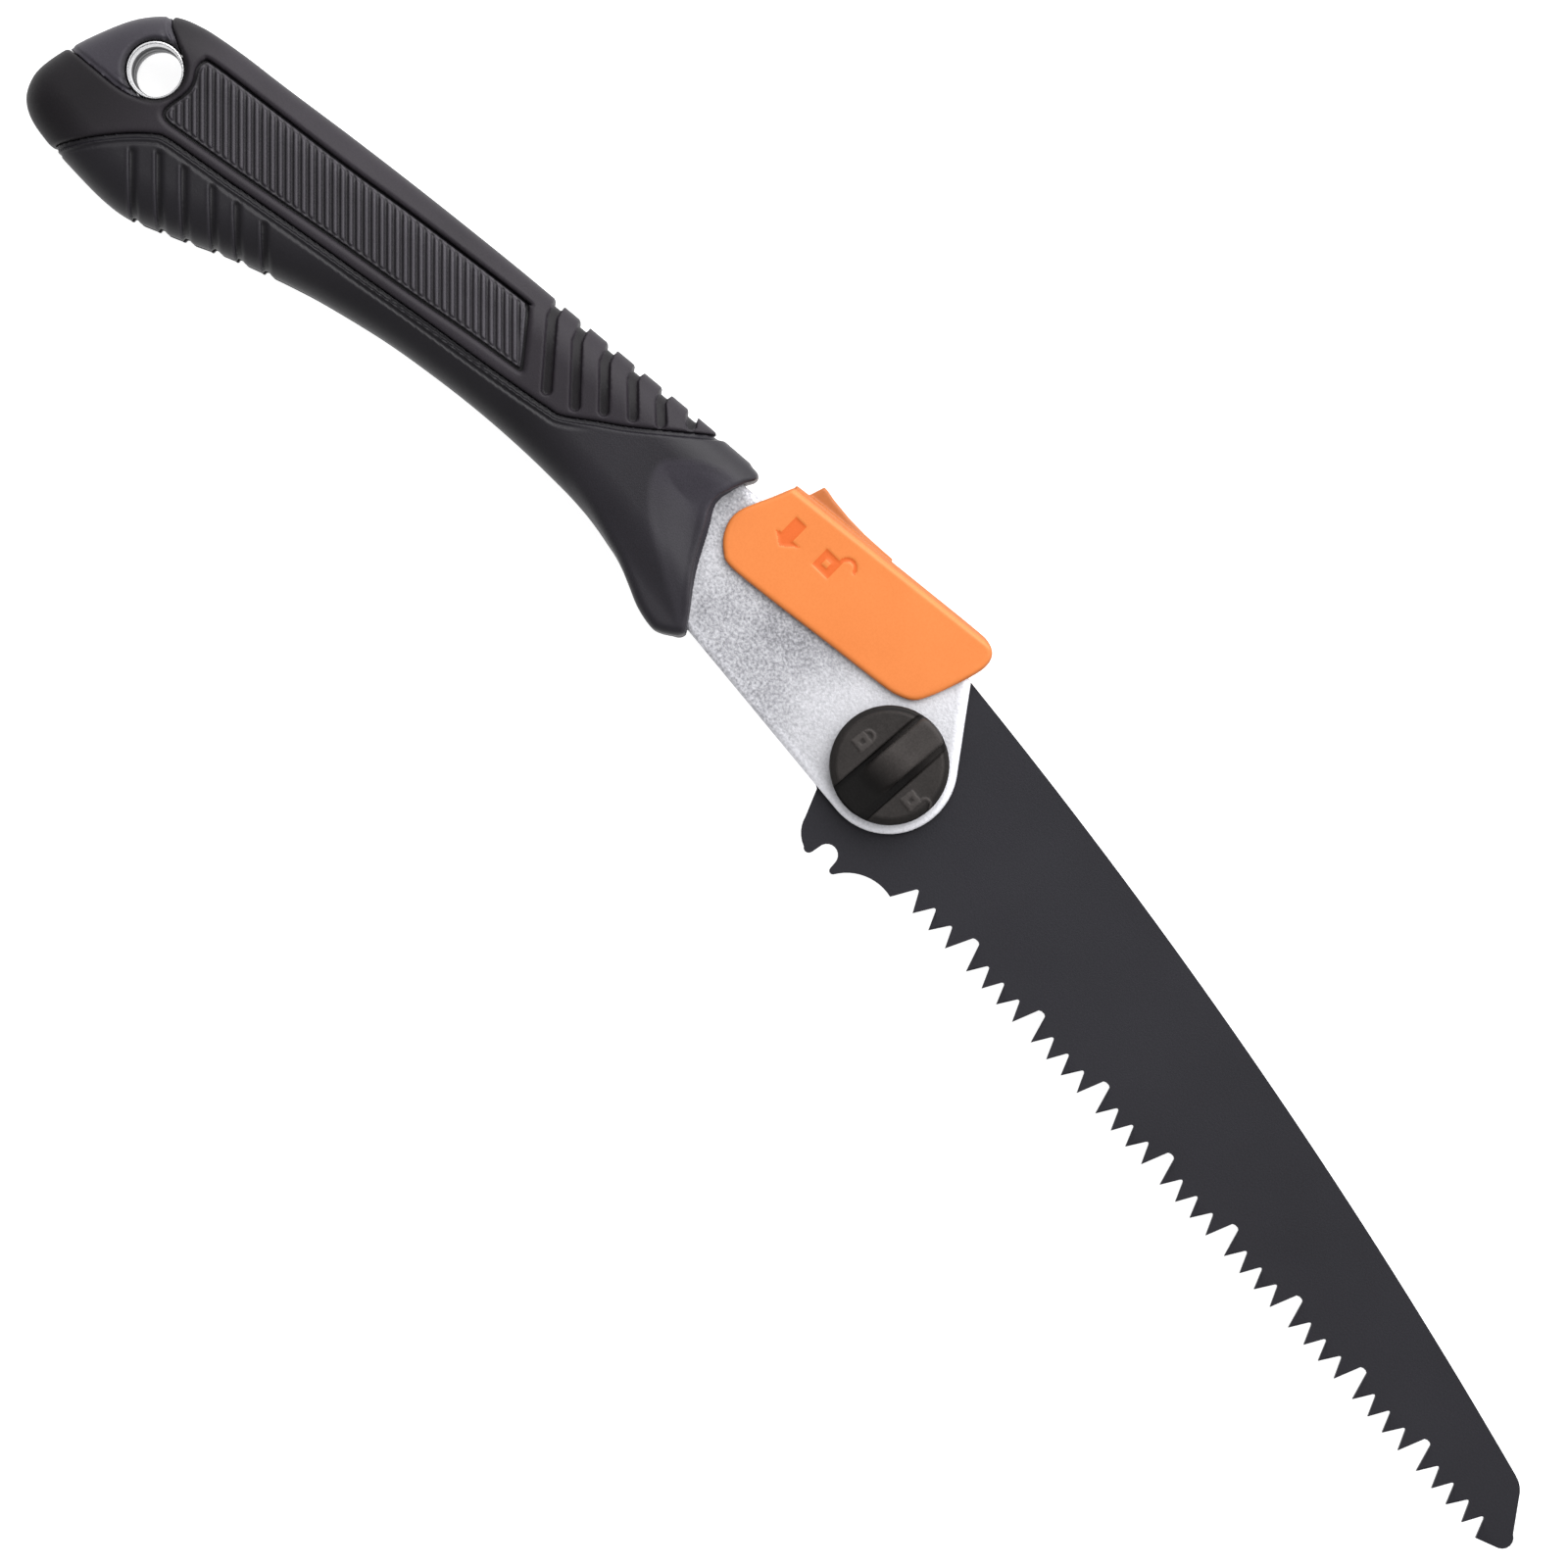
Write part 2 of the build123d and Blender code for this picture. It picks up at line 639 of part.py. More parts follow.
for name, piece in PIECES.items():
    piece.part.label = name
    export_step(piece.part, f"parts/{name}.step")
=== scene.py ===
"""Looks of the folding pruning saw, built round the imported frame.

Detailed pieces are drawn in millimetres in the blade pivot's own axes: X towards the blade's tip,
Y towards the spine, Z out of the knob side, 0 at the blade's mid-plane. place() puts them into
the row frame in metres. Moulded pieces are distance fields turned into meshes.
"""

import json
import math

import bpy
import numpy as np
from mathutils import Matrix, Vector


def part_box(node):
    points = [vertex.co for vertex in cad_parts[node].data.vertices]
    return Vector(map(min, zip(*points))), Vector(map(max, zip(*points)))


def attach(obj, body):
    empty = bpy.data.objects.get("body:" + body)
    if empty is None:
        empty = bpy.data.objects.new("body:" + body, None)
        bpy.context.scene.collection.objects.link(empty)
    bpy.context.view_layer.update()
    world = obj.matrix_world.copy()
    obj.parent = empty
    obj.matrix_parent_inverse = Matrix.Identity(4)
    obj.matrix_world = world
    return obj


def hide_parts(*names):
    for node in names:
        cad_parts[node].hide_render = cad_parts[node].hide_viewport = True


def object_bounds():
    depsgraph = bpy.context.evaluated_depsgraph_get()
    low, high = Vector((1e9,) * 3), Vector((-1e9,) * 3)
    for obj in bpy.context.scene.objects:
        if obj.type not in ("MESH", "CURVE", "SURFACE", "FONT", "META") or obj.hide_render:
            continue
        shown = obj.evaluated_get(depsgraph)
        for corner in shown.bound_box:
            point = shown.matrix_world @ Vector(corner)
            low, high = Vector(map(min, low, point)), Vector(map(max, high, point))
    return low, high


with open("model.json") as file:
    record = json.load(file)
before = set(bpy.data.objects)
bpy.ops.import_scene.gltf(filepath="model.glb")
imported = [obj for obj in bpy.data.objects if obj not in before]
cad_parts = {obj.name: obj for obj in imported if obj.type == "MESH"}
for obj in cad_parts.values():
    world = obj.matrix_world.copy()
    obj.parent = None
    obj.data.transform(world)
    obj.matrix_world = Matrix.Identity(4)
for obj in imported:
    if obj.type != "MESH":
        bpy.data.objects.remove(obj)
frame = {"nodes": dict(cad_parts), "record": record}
CAD_BOX = [list(corner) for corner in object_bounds()]
LOW, HIGH = (np.array(corner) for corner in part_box("pivot_bush"))
PIVOT = (LOW + HIGH) / 2

# ---- sizes, in millimetres ------------------------------------------------------------------
HALF = 10.5  # half the handle's thickness
ROUND_ACROSS = 10.5  # how far the handle's crown reaches in from its edge
ROUND_DEEP = 8.0  # and down from its side
CROWN = 2.1  # power of the crown's curve, 2 being an ellipse
GUARD_HALF = 8.6
GUARD_EDGE = 2.5
GUARD_BLEND = 2.0
FRONT_EDGE_SOFT = 1.6
SKIN = 2.0  # thickness of the rubber over the core
CORE_INSET = 0.22  # how far the core stays below the plain handle
PANEL_SUNK = 1.2
PANEL_GAP = 0.6
SLOT_HALF = 1.6
POCKET_GAP = 0.12  # room beside the side plates inside the handle
POCKET_GAP_DEEP = 0.05
MID_GAP = 0.02  # each half stays this far from the mid-plane
MID_HIDDEN = 0.15  # and nothing can see what lies this close to it
GRIP_GAP = 0.1
PLATE_INNER, PLATE_OUTER = 1.8, 4.0
PLATE_NOSE = 15.4  # radius round the pivot
PLATE_STEP = 2.5  # spacing of the points along its outline
COVER_INNER, COVER_OUTER = 4.4, 5.8
COVER_LEDGE = 0.75  # how far the cover's back drops below its faces
COVER_ROOF = 3.2  # thickness over the cavity
COVER_EDGE = 1.1
THUMB_HALF = 3.8
THUMB_EDGE = 0.6
BLADE_HALF = 0.75
BLADE_BEVEL = 0.12
RIB_ALONG = (0.698, -0.716)
RIB_PITCH = 1.74
RIB_HEIGHT = 0.85
RIB_SQUARE = 2.2  # the higher, the squarer the ribs
RIB_BIAS = 0.2  # ribs a little wider than the gaps
KNOB_BASE = 6.1
KNOB_HUB = 4.6
KNOB_FLOOR = 7.65
KNOB_DISC_TOP = 8.9
KNOB_TOP = 9.5
KNOB_R = 13.4
KNOB_SEGMENT_R = 12.0
KNOB_HUB_R = 8.7
SIGN_HIGH = 0.28  # the knob's signs stand proud
ICON_DEEP = 0.24  # the cover's are sunk
HANDLE_STEP = 0.33  # spacing of the distance fields' grids
PANEL_STEP = 0.24
COVER_STEP = 0.3
KNOB_STEP = 0.22
HIDDEN_DEPTH = 1.5
THINNED = 0.9  # share of the hidden faces that goes

# grooves: half the width, depth, width of each wall
SEAM_AT, SEAM = 0.55, (0.75, 0.8, 0.35)
SECOND_SEAM_AT, SECOND_SEAM = 2.0, (0.6, 0.4, 0.35)
PANEL_RIM = (1.1, 0.25, 0.8)
COLLAR = (1.2, 0.6, 1.0)
SPINE_GROOVE = (1.4, 1.25, 0.4)
FINGER_DEEP = 0.7
FINGER_LIP = 0.16

EYELET = (-225.3, -3.4)
EYELET_R = 6.5
EYELET_BORE = 5.42
EYELET_GAP = 0.25
EYELET_WALL = (6.0, 5.5)  # the wall inside this radius and depth takes the near-black bore colour, painted shade down the hole
SPINE = [
    (-40, 28.6), (-68, 27), (-82, 26.1), (-100, 24.7), (-118, 23.2), (-136, 21.8), (-154, 20.1),
    (-170, 18.4), (-186, 16.5), (-202, 14.4), (-214, 13.0), (-222, 11.7), (-226, 10.7), (-230, 9.1),
    (-234, 6.2), (-238, 0.9), (-241.5, -7), (-243.6, -13.5), (-244.9, -20), (-244.5, -24.3),
    (-242.3, -28.2), (-238, -30.7), (-231, -31.9), (-222, -32.5), (-214, -32.6), (-208, -31.7),
    (-202, -29.4), (-194, -26), (-186, -22.4), (-178, -19.4), (-170, -16.7), (-162, -14.4),
    (-148, -11.2), (-136, -9.3), (-124, -7.9), (-112, -7.1), (-100, -6.9), (-88, -7.4),
    (-66, -10.3), (-40, -14),
]
LIP = [
    (-98, -2), (-88, -5.5), (-80, -8.2), (-76, -9.4), (-70, -12.0), (-65, -14.2), (-60, -15.3),
    (-57.5, -14.8), (-55, -13.3), (-53.2, -11.9), (-50, -9), (-50, 0), (-62, 6), (-98, 6),
]
FRONT_EDGE = [
    (-53.0, -60), (-52.9, -10.8), (-54.6, -7.6), (-60, 0.4), (-65, 10), (-67.3, 13.8), (-68, 15.8),
    (-67.9, 17.6), (-66.9, 22.2), (-65.8, 24.2), (-65.6, 25.5), (-66.4, 26.6), (-68.3, 27.1),
    (-68.3, 60), (-300, 60), (-300, -60),
]
GRIP_LINE = [
    (-230.0, -31.0), (-225, -24), (-220, -18), (-216, -14.2), (-213, -12.4), (-205, -11),
    (-195, -9.5), (-190, -8.6), (-170, -5.4), (-160, -3.9), (-150, -2.3), (-140, -0.8), (-130, 0.6),
    (-120, 2.1), (-110, 3.8), (-106.5, 4.8), (-100, 9.4), (-95, 12.8), (-90, 16.7), (-85, 20.8),
    (-80, 25.0), (-77.6, 27.5),
]
INSERT_LINE = [
    (-231.4, 7.7), (-229.4, 6.0), (-226.4, 4.6), (-223.0, 2.5), (-221.0, -3.2), (-222.2, -8.8),
    (-225.2, -11.2), (-229.6, -12.2),
]
FACET = [
    (-40, 22.7), (-68, 22.6), (-73, 21.9), (-78, 19.5), (-82, 15.6), (-84, 12.6), (-83.2, 8.4),
    (-80, 4.1), (-75, 0), (-70, -3), (-65, -6), (-60, -8.6), (-52, -12), (-40, -12),
]
PANEL = [
    (-217.0, 6.9), (-200, 9.0), (-180, 11.3), (-160, 14.1), (-131.5, 17.5), (-129.3, 17.1),
    (-127.6, 15.7), (-120.6, 6.8), (-120.2, 5.6), (-121.6, 5.0), (-135, 3.0), (-150, 0.4),
    (-170, -2.7), (-190, -6.1), (-210, -9.3), (-215.4, -10.0), (-217.4, -9.0), (-217.6, -6.5),
    (-216.9, -2.5), (-217.3, 0.3), (-218.9, 3.2), (-219.0, 5.6),
]
SLOT = [
    (-40, 15.5), (-62, 13), (-124, 5.2), (-214, -6.0), (-225.6, -11.5), (-225.6, -60), (-40, -60),
]
SPINE_GROOVES = [
    [(-125.5, 24), (-123.6, 19), (-113, 6.5)], [(-118, 24), (-115.8, 19), (-106, 8.3)],
    [(-110.5, 26), (-108.2, 20), (-100.6, 12)], [(-102.8, 27), (-101, 21.5), (-95, 15.6)],
    [(-95, 28), (-93.2, 22.4), (-89.6, 19)], [(-87.4, 28), (-86, 25), (-84.6, 23.4)],
]
# each from its inner end outwards
BELLY_GROOVES = [
    [(-217.6, -19.6), (-204.5, -33.2)], [(-213, -15.9), (-198.6, -30.6)],
    [(-206.7, -14.3), (-193.2, -28.1)], [(-199.2, -12.9), (-187, -25.3)],
    [(-192.6, -11.9), (-181, -23.6)], [(-185.2, -10.8), (-175.2, -21.0)],
]
COVER = [
    (-56.5, 7.0), (-45, 8.0), (-30, 9.8), (-14, 11.6), (-9.5, 12.5), (-6.2, 14.2), (-4.2, 17.5),
    (-2.2, 22.5), (-0.4, 28.0), (0.1, 31.4), (-0.9, 34.0), (-3.6, 35.3), (-8, 35.2), (-20, 34.1),
    (-40, 32.2), (-57.4, 30.5), (-58.4, 29.8), (-60.4, 25.2), (-62.4, 20.8), (-63.7, 17.6),
    (-63.9, 14.6), (-62.6, 11.2), (-60, 8.4),
]
THUMB = [
    (-55.6, 29), (-53.8, 34.5), (-52.6, 34.4), (-50, 33.9), (-45, 33.35), (-40, 33.2), (-35, 33.4),
    (-31.6, 33.6), (-31.2, 31.0),
]
ARROW = [
    (-53.6, 25.2), (-50.5, 25.2), (-50.5, 20.6), (-48.3, 20.9), (-51.8, 18.0), (-55.0, 20.2),
    (-53.6, 20.3),
]


# ---- curves ---------------------------------------------------------------------------------
def smooth(points, steps=5, closed=False):
    """A Catmull-Rom curve through the points."""
    p = [np.array(q, float) for q in points]
    n = len(p)
    out = []
    for i in range(n if closed else n - 1):
        if closed:
            a, b, c, d = p[i - 1], p[i], p[(i + 1) % n], p[(i + 2) % n]
        else:
            a, b, c, d = p[max(i - 1, 0)], p[i], p[i + 1], p[min(i + 2, n - 1)]
        for k in range(steps):
            t = k / steps
            out.append(0.5 * (2 * b + (c - a) * t + (2 * a - 5 * b + 4 * c - d) * t * t
                              + (3 * b - a - 3 * c + d) * t ** 3))
    if not closed:
        out.append(p[-1])
    return np.array(out)


def arc(a, m, b, n):
    """n points from a towards b on the circle through a, m and b, without b itself."""
    (ax, ay), (mx, my), (bx, by) = a, m, b
    d = 2 * (ax * (my - by) + mx * (by - ay) + bx * (ay - my))
    sa, sm, sb = ax * ax + ay * ay, mx * mx + my * my, bx * bx + by * by
    cx = (sa * (my - by) + sm * (by - ay) + sb * (ay - my)) / d
    cy = (sa * (bx - mx) + sm * (ax - bx) + sb * (mx - ax)) / d
    start = math.atan2(ay - cy, ax - cx)
    turn = (math.atan2(by - cy, bx - cx) - start) % (2 * math.pi)
    via = (math.atan2(my - cy, mx - cx) - start) % (2 * math.pi)
    if via > turn:
        turn -= 2 * math.pi
    r = math.hypot(ax - cx, ay - cy)
    angles = [start + turn * k / n for k in range(n)]
    return [(cx + r * math.cos(t), cy + r * math.sin(t)) for t in angles]


def polar(r, degrees):
    return (r * math.cos(math.radians(degrees)), r * math.sin(math.radians(degrees)))


# ---- distance fields ------------------------------------------------------------------------
def line_distance(x, y, points, closed=False):
    """Distance of every grid point from a run of straight pieces."""
    ends = list(zip(points[:-1], points[1:]))
    if closed:
        ends.append((points[-1], points[0]))
    best = np.full(x.shape, 1e9, np.float32)
    for (x0, y0), (x1, y1) in ends:
        ex, ey = x1 - x0, y1 - y0
        t = np.clip(((x - x0) * ex + (y - y0) * ey) / (ex * ex + ey * ey + 1e-12), 0, 1)
        best = np.minimum(best, (x - x0 - ex * t) ** 2 + (y - y0 - ey * t) ** 2)
    return np.sqrt(best)


def area_distance(x, y, points):
    """Signed distance from a closed outline, negative inside."""
    inside = np.zeros(x.shape, bool)
    for (x0, y0), (x1, y1) in zip(points, np.roll(points, -1, axis=0)):
        if y0 != y1:
            inside ^= ((y0 <= y) != (y1 <= y)) & (x < x0 + (y - y0) * (x1 - x0) / (y1 - y0))
    return np.where(inside, -1, 1) * line_distance(x, y, points, closed=True)


def step(v, low, high):
    """0 up to low, 1 from high on, and a soft S between them."""
    t = np.clip((v - low) / (high - low), 0, 1)
    return t * t * (3 - 2 * t)


def soft_min(a, b, k):
    h = np.clip(0.5 + 0.5 * (b - a) / k, 0, 1)
    return b + (a - b) * h - k * h * (1 - h)


def soft_max(a, b, k):
    return -soft_min(-a, -b, k)


def common(*fields):
    """Where all the fields are inside."""
    field = fields[0]
    for other in fields[1:]:
        field = np.maximum(field, other)
    return field


def slab(flat, z, half, radius):
    """A plate of an outline's distance field, from -half to half, its edges rounded."""
    qx, qz = flat + radius, np.abs(z) - (half - radius)
    return np.minimum(np.maximum(qx, qz), 0) + np.hypot(np.maximum(qx, 0), np.maximum(qz, 0)) - radius


def even(field, h):
    """The field rescaled so that it changes by about 1 per millimetre."""
    gx, gy, gz = np.gradient(field, h)
    flattest = 0.35  # no place is scaled up by more than this allows
    return field / np.maximum(np.sqrt(gx * gx + gy * gy + gz * gz), flattest)


def grid(low, high, h):
    """Flat x and y arrays, and the heights, of a grid over the box."""
    axes = [np.arange(a, b + h, h, dtype=np.float32) for a, b in zip(low, high)]
    x, y = np.meshgrid(axes[0], axes[1], indexing="ij")
    return x, y, axes[2][None, None, :]


CORNERS = [(a, b, c) for a in (0, 1) for b in (0, 1) for c in (0, 1)]
EDGES = [(p, q) for p in CORNERS for q in CORNERS
         if sum(q) - sum(p) == 1 and sum(abs(a - b) for a, b in zip(p, q)) == 1]


def field_mesh(field, low, h):
    """Surface nets: a point in each grid cell that the surface crosses, a quad round each crossed edge."""
    outside = 9.0
    f = np.pad(field.astype(np.float32), 1, constant_values=outside)
    inside = f < 0
    size = [n - 1 for n in f.shape]
    count = sum(inside[a:size[0] + a, b:size[1] + b, c:size[2] + c].astype(np.int8) for a, b, c in CORNERS)
    crossed = (count > 0) & (count < 8)
    cells = np.argwhere(crossed)
    number = np.full(size, -1, np.int64)
    number[crossed] = np.arange(len(cells))
    total, hits = np.zeros((len(cells), 3)), np.zeros(len(cells))
    for p, q in EDGES:
        fp = f[tuple((cells + p).T)]
        fq = f[tuple((cells + q).T)]
        cut = (fp < 0) != (fq < 0)
        t = np.where(cut, fp / np.where(cut, fp - fq, 1), 0)
        total += np.where(cut[:, None], np.array(p) + t[:, None] * (np.array(q) - np.array(p)), 0)
        hits += cut
    points = (cells + total / hits[:, None] - 1) * h + np.array(low)
    quads = []
    for axis in range(3):
        u, v = [(1, 2), (2, 0), (0, 1)][axis]
        ahead = [slice(1, None)] * 3
        here = [slice(1, -1)] * 3
        here[axis], ahead[axis] = slice(0, -1), slice(1, None)
        for other in (u, v):
            ahead[other] = slice(1, -1)
        a, b = inside[tuple(here)], inside[tuple(ahead)]
        for flip in (False, True):
            at = np.argwhere((b & ~a) if flip else (a & ~b))
            at[:, u] += 1
            at[:, v] += 1
            ring = []
            for du, dv in ((-1, -1), (0, -1), (0, 0), (-1, 0)):
                c = at.copy()
                c[:, u] += du
                c[:, v] += dv
                ring.append(number[tuple(c.T)])
            quads.append(np.stack(ring[::-1] if flip else ring, axis=1))
    return points, np.concatenate(quads)


# ---- meshes ---------------------------------------------------------------------------------
def place(points):
    """Millimetres round the pivot to metres in the row frame."""
    return np.asarray(points, float) / 1000 + PIVOT


def make(name, points, faces, material, body, nodes, sharp=None):
    """A finished piece: mesh, material, body it rides on and CAD nodes that it stands for."""
    mesh = bpy.data.meshes.new(name)
    mesh.from_pydata(place(points).tolist(), [], [tuple(int(i) for i in f) for f in faces])
    mesh.update()
    mesh.polygons.foreach_set("use_smooth", [True] * len(mesh.polygons))
    if sharp:
        mesh.set_sharp_from_angle(angle=math.radians(sharp))
    piece = bpy.data.objects.new(name, mesh)
    bpy.context.scene.collection.objects.link(piece)
    mesh.materials.append(material)
    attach(piece, body)
    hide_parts(*nodes)
    return piece


def paint(piece, values):
    """Gives each point its painted light and shade, which the material multiplies its colour by."""
    light_layer = piece.data.attributes.new("light_and_shade", "FLOAT", "POINT")
    light_layer.data.foreach_set("value", np.asarray(values, np.float32))


def thin_out(piece, hidden):
    """Merges faces between points that nothing can see."""
    group = piece.vertex_groups.new(name="hidden")
    group.add(np.flatnonzero(hidden).tolist(), 1.0, "REPLACE")
    fewer = piece.modifiers.new("fewer", "DECIMATE")
    fewer.ratio = 1 - THINNED * float(np.mean(hidden))
    fewer.vertex_group = group.name
    bpy.context.view_layer.update()
    whole = piece.evaluated_get(bpy.context.evaluated_depsgraph_get())
    mesh = bpy.data.meshes.new_from_object(whole)
    piece.modifiers.clear()
    piece.vertex_groups.clear()
    old, piece.data = piece.data, mesh
    bpy.data.meshes.remove(old)
    mesh.name = piece.name


def inset(points, amount):
    """The closed, anticlockwise outline moved inwards, point by point."""
    p = np.asarray(points, float)
    before, after = p - np.roll(p, 1, axis=0), np.roll(p, -1, axis=0) - p
    before /= np.linalg.norm(before, axis=1)[:, None]
    after /= np.linalg.norm(after, axis=1)[:, None]
    n = np.stack([-(before + after)[:, 1], (before + after)[:, 0]], axis=1)
    n /= np.linalg.norm(n, axis=1)[:, None]
    least = 0.5  # keeps a sharp corner from running away
    cosine = np.clip(np.sum(n * np.stack([-after[:, 1], after[:, 0]], axis=1), axis=1), least, 1)
    amount = np.asarray(amount, float)
    return p + n * (amount / cosine)[:, None]


def stacked(rings):
    """Closed body from rings of the same number of points, (outline, z), lowest first."""
    n = len(rings[0][0])
    points = np.concatenate([np.column_stack([ring, np.full(n, z)]) for ring, z in rings])
    faces = [tuple(range(n - 1, -1, -1)), tuple(range((len(rings) - 1) * n, len(rings) * n))]
    for k in range(len(rings) - 1):
        for i in range(n):
            j = (i + 1) % n
            faces.append((k * n + i, k * n + j, (k + 1) * n + j, (k + 1) * n + i))
    return points, faces


def turned(profile, centre, segments=96):
    """A closed profile of (radius, z) turned about an upright axis through centre."""
    n = len(profile)
    points, faces = [], []
    for s in range(segments):
        c, d = math.cos(2 * math.pi * s / segments), math.sin(2 * math.pi * s / segments)
        points += [(centre[0] + r * c, centre[1] + r * d, z) for r, z in profile]
        t = (s + 1) % segments
        faces += [(s * n + i, t * n + i, t * n + (i + 1) % n, s * n + (i + 1) % n) for i in range(n)]
    return points, faces


# ---- materials ------------------------------------------------------------------------------
def noise(nodes, links, vector, scale, detail, roughness):
    n = nodes.new("ShaderNodeTexNoise")
    n.inputs["Scale"].default_value = scale
    n.inputs["Detail"].default_value = detail
    n.inputs["Roughness"].default_value = roughness
    links.new(vector, n.inputs["Vector"])
    return n


def ramp(nodes, links, source, stops):
    r = nodes.new("ShaderNodeValToRGB")
    while len(r.color_ramp.elements) < len(stops):
        r.color_ramp.elements.new(0.5)
    for element, (at, colour) in zip(r.color_ramp.elements, stops):
        element.position = at
        element.color = (*colour, 1)
    links.new(source, r.inputs["Fac"])
    return r


def scaled(nodes, links, colour, amount):
    node = nodes.new("ShaderNodeVectorMath")
    node.operation = "SCALE"
    links.new(colour, node.inputs[0])
    links.new(amount, node.inputs["Scale"])
    return node.outputs["Vector"]


def painted_pivot_highlight(nodes, links, where, colour, pivot_highlight):
    """The colour with a painted highlight, paler towards the pivot."""
    far, near, most, pale = pivot_highlight
    apart = nodes.new("ShaderNodeVectorMath")
    apart.operation = "DISTANCE"
    apart.inputs[1].default_value = tuple(PIVOT)
    links.new(where, apart.inputs[0])
    ease = nodes.new("ShaderNodeMapRange")
    ease.interpolation_type = "SMOOTHSTEP"
    ease.inputs["From Min"].default_value = near / 1000
    ease.inputs["From Max"].default_value = far / 1000
    ease.inputs["To Min"].default_value = most
    ease.inputs["To Max"].default_value = 0.0
    links.new(apart.outputs["Value"], ease.inputs["Value"])
    blend = nodes.new("ShaderNodeMix")
    blend.data_type = "RGBA"
    blend.inputs["B"].default_value = (*pale, 1)
    links.new(ease.outputs["Result"], blend.inputs["Factor"])
    links.new(colour, blend.inputs["A"])
    return blend.outputs["Result"]


FINE_SHARE, SLOW_SHARE = 0.55, 0.45  # how the two noises share the colour
BUMP_PER_GRAIN = 0.0003  # depth of the relief, in metres for each mm of grain


def material(name, dark, light, rough, metallic=0.0, grain=0.4, patch=14.0, bump=0.3,
             rough_span=0.08, specular=0.5, contrast=(0.3, 0.7), pivot_highlight=None, painted_light=False):
    """Moulded or coated surface.

    grain in mm drives the relief and the fine colour, and patch in mm the slow variation.
    The tuple (far, near, most, pale) paints a highlight round the pivot, turning the colour
    towards pale from far to near mm, and the last switch lets the mesh's painted light and shade darken or
    lighten it.
    """
    m = bpy.data.materials.new(name)
    m.use_nodes = True
    nodes, links = m.node_tree.nodes, m.node_tree.links
    shader = nodes["Principled BSDF"]
    where = nodes.new("ShaderNodeTexCoord").outputs["Object"]
    fine = noise(nodes, links, where, 1000 / grain, detail=4.0, roughness=0.6)
    slow = noise(nodes, links, where, 1000 / patch, detail=3.0, roughness=0.5)
    mix = nodes.new("ShaderNodeMath")
    mix.operation = "MULTIPLY_ADD"
    mix.inputs[1].default_value = SLOW_SHARE
    links.new(slow.outputs["Fac"], mix.inputs[0])
    part = nodes.new("ShaderNodeMath")
    part.operation = "MULTIPLY"
    part.inputs[1].default_value = FINE_SHARE
    links.new(fine.outputs["Fac"], part.inputs[0])
    links.new(part.outputs[0], mix.inputs[2])
    stops = [(contrast[0], dark), (contrast[1], light)]
    colour = ramp(nodes, links, mix.outputs[0], stops).outputs["Color"]
    # paler towards the pivot: a painted highlight standing in for the lamp's fall-off
    if pivot_highlight:
        colour = painted_pivot_highlight(nodes, links, where, colour, pivot_highlight)
    # the mesh's painted light and shade scales the colour
    if painted_light:
        own = nodes.new("ShaderNodeAttribute")
        own.attribute_name = "light_and_shade"
        colour = scaled(nodes, links, colour, own.outputs["Fac"])
    links.new(colour, shader.inputs["Base Color"])
    gloss = nodes.new("ShaderNodeMapRange")
    gloss.inputs["To Min"].default_value = rough - rough_span
    gloss.inputs["To Max"].default_value = rough + rough_span
    links.new(mix.outputs[0], gloss.inputs["Value"])
    links.new(gloss.outputs["Result"], shader.inputs["Roughness"])
    relief = nodes.new("ShaderNodeBump")
    relief.inputs["Strength"].default_value = bump
    relief.inputs["Distance"].default_value = grain * BUMP_PER_GRAIN
    links.new(fine.outputs["Fac"], relief.inputs["Height"])
    links.new(relief.outputs["Normal"], shader.inputs["Normal"])
    shader.inputs["Metallic"].default_value = metallic
    shader.inputs["Specular IOR Level"].default_value = specular
    return m


RUBBER = material(
    "grip_rubber", (0.0124, 0.0104, 0.0132), (0.0236, 0.0199, 0.0252), 0.52,
    grain=0.35, patch=22, bump=0.35, specular=0.17, painted_light=True)
BELLY = material(
    "belly_plastic", (0.0102, 0.0091, 0.0120), (0.0172, 0.0156, 0.0200), 0.44,
    grain=0.35, patch=22, bump=0.35, specular=0.22, painted_light=True)
RIBBED = material(
    "panel_rubber", (0.029, 0.0264, 0.0312), (0.054, 0.0496, 0.0582), 0.5,
    grain=0.3, patch=16, bump=0.3, specular=0.25, painted_light=True)
# the frame's colour pales round the pivot as a painted highlight
SILVER = material(
    "frame_silver", (0.165, 0.165, 0.182), (0.52, 0.52, 0.55), 0.5, metallic=0.15,
    grain=0.65, patch=26, bump=0.6, contrast=(0.36, 0.60),
    pivot_highlight=(36.0, 12.0, 0.6, (0.60, 0.60, 0.63)), painted_light=True)
ORANGE = material(
    "lever_orange", (0.575, 0.158, 0.032), (0.625, 0.185, 0.042), 0.42,
    grain=0.5, patch=18, bump=0.08, specular=0.3, painted_light=True)
ICON = material(
    "lever_icon", (0.55, 0.10, 0.016), (0.61, 0.12, 0.022), 0.5,
    grain=0.4, patch=9, bump=0.15, specular=0.2)
COATED = material(
    "blade_coating", (0.0106, 0.0102, 0.0134), (0.0165, 0.0160, 0.0207), 0.48, metallic=0.1,
    grain=0.45, patch=30, bump=0.25, specular=0.22)
KNOB = material(
    "knob_plastic", (0.0165, 0.0146, 0.0139), (0.0320, 0.0286, 0.0275), 0.52,
    grain=0.45, patch=9, bump=0.3, specular=0.1, painted_light=True)
STEEL = material(
    "pin_steel", (0.36, 0.36, 0.38), (0.55, 0.55, 0.57), 0.3, metallic=1.0,
    grain=0.25, patch=6, bump=0.1)
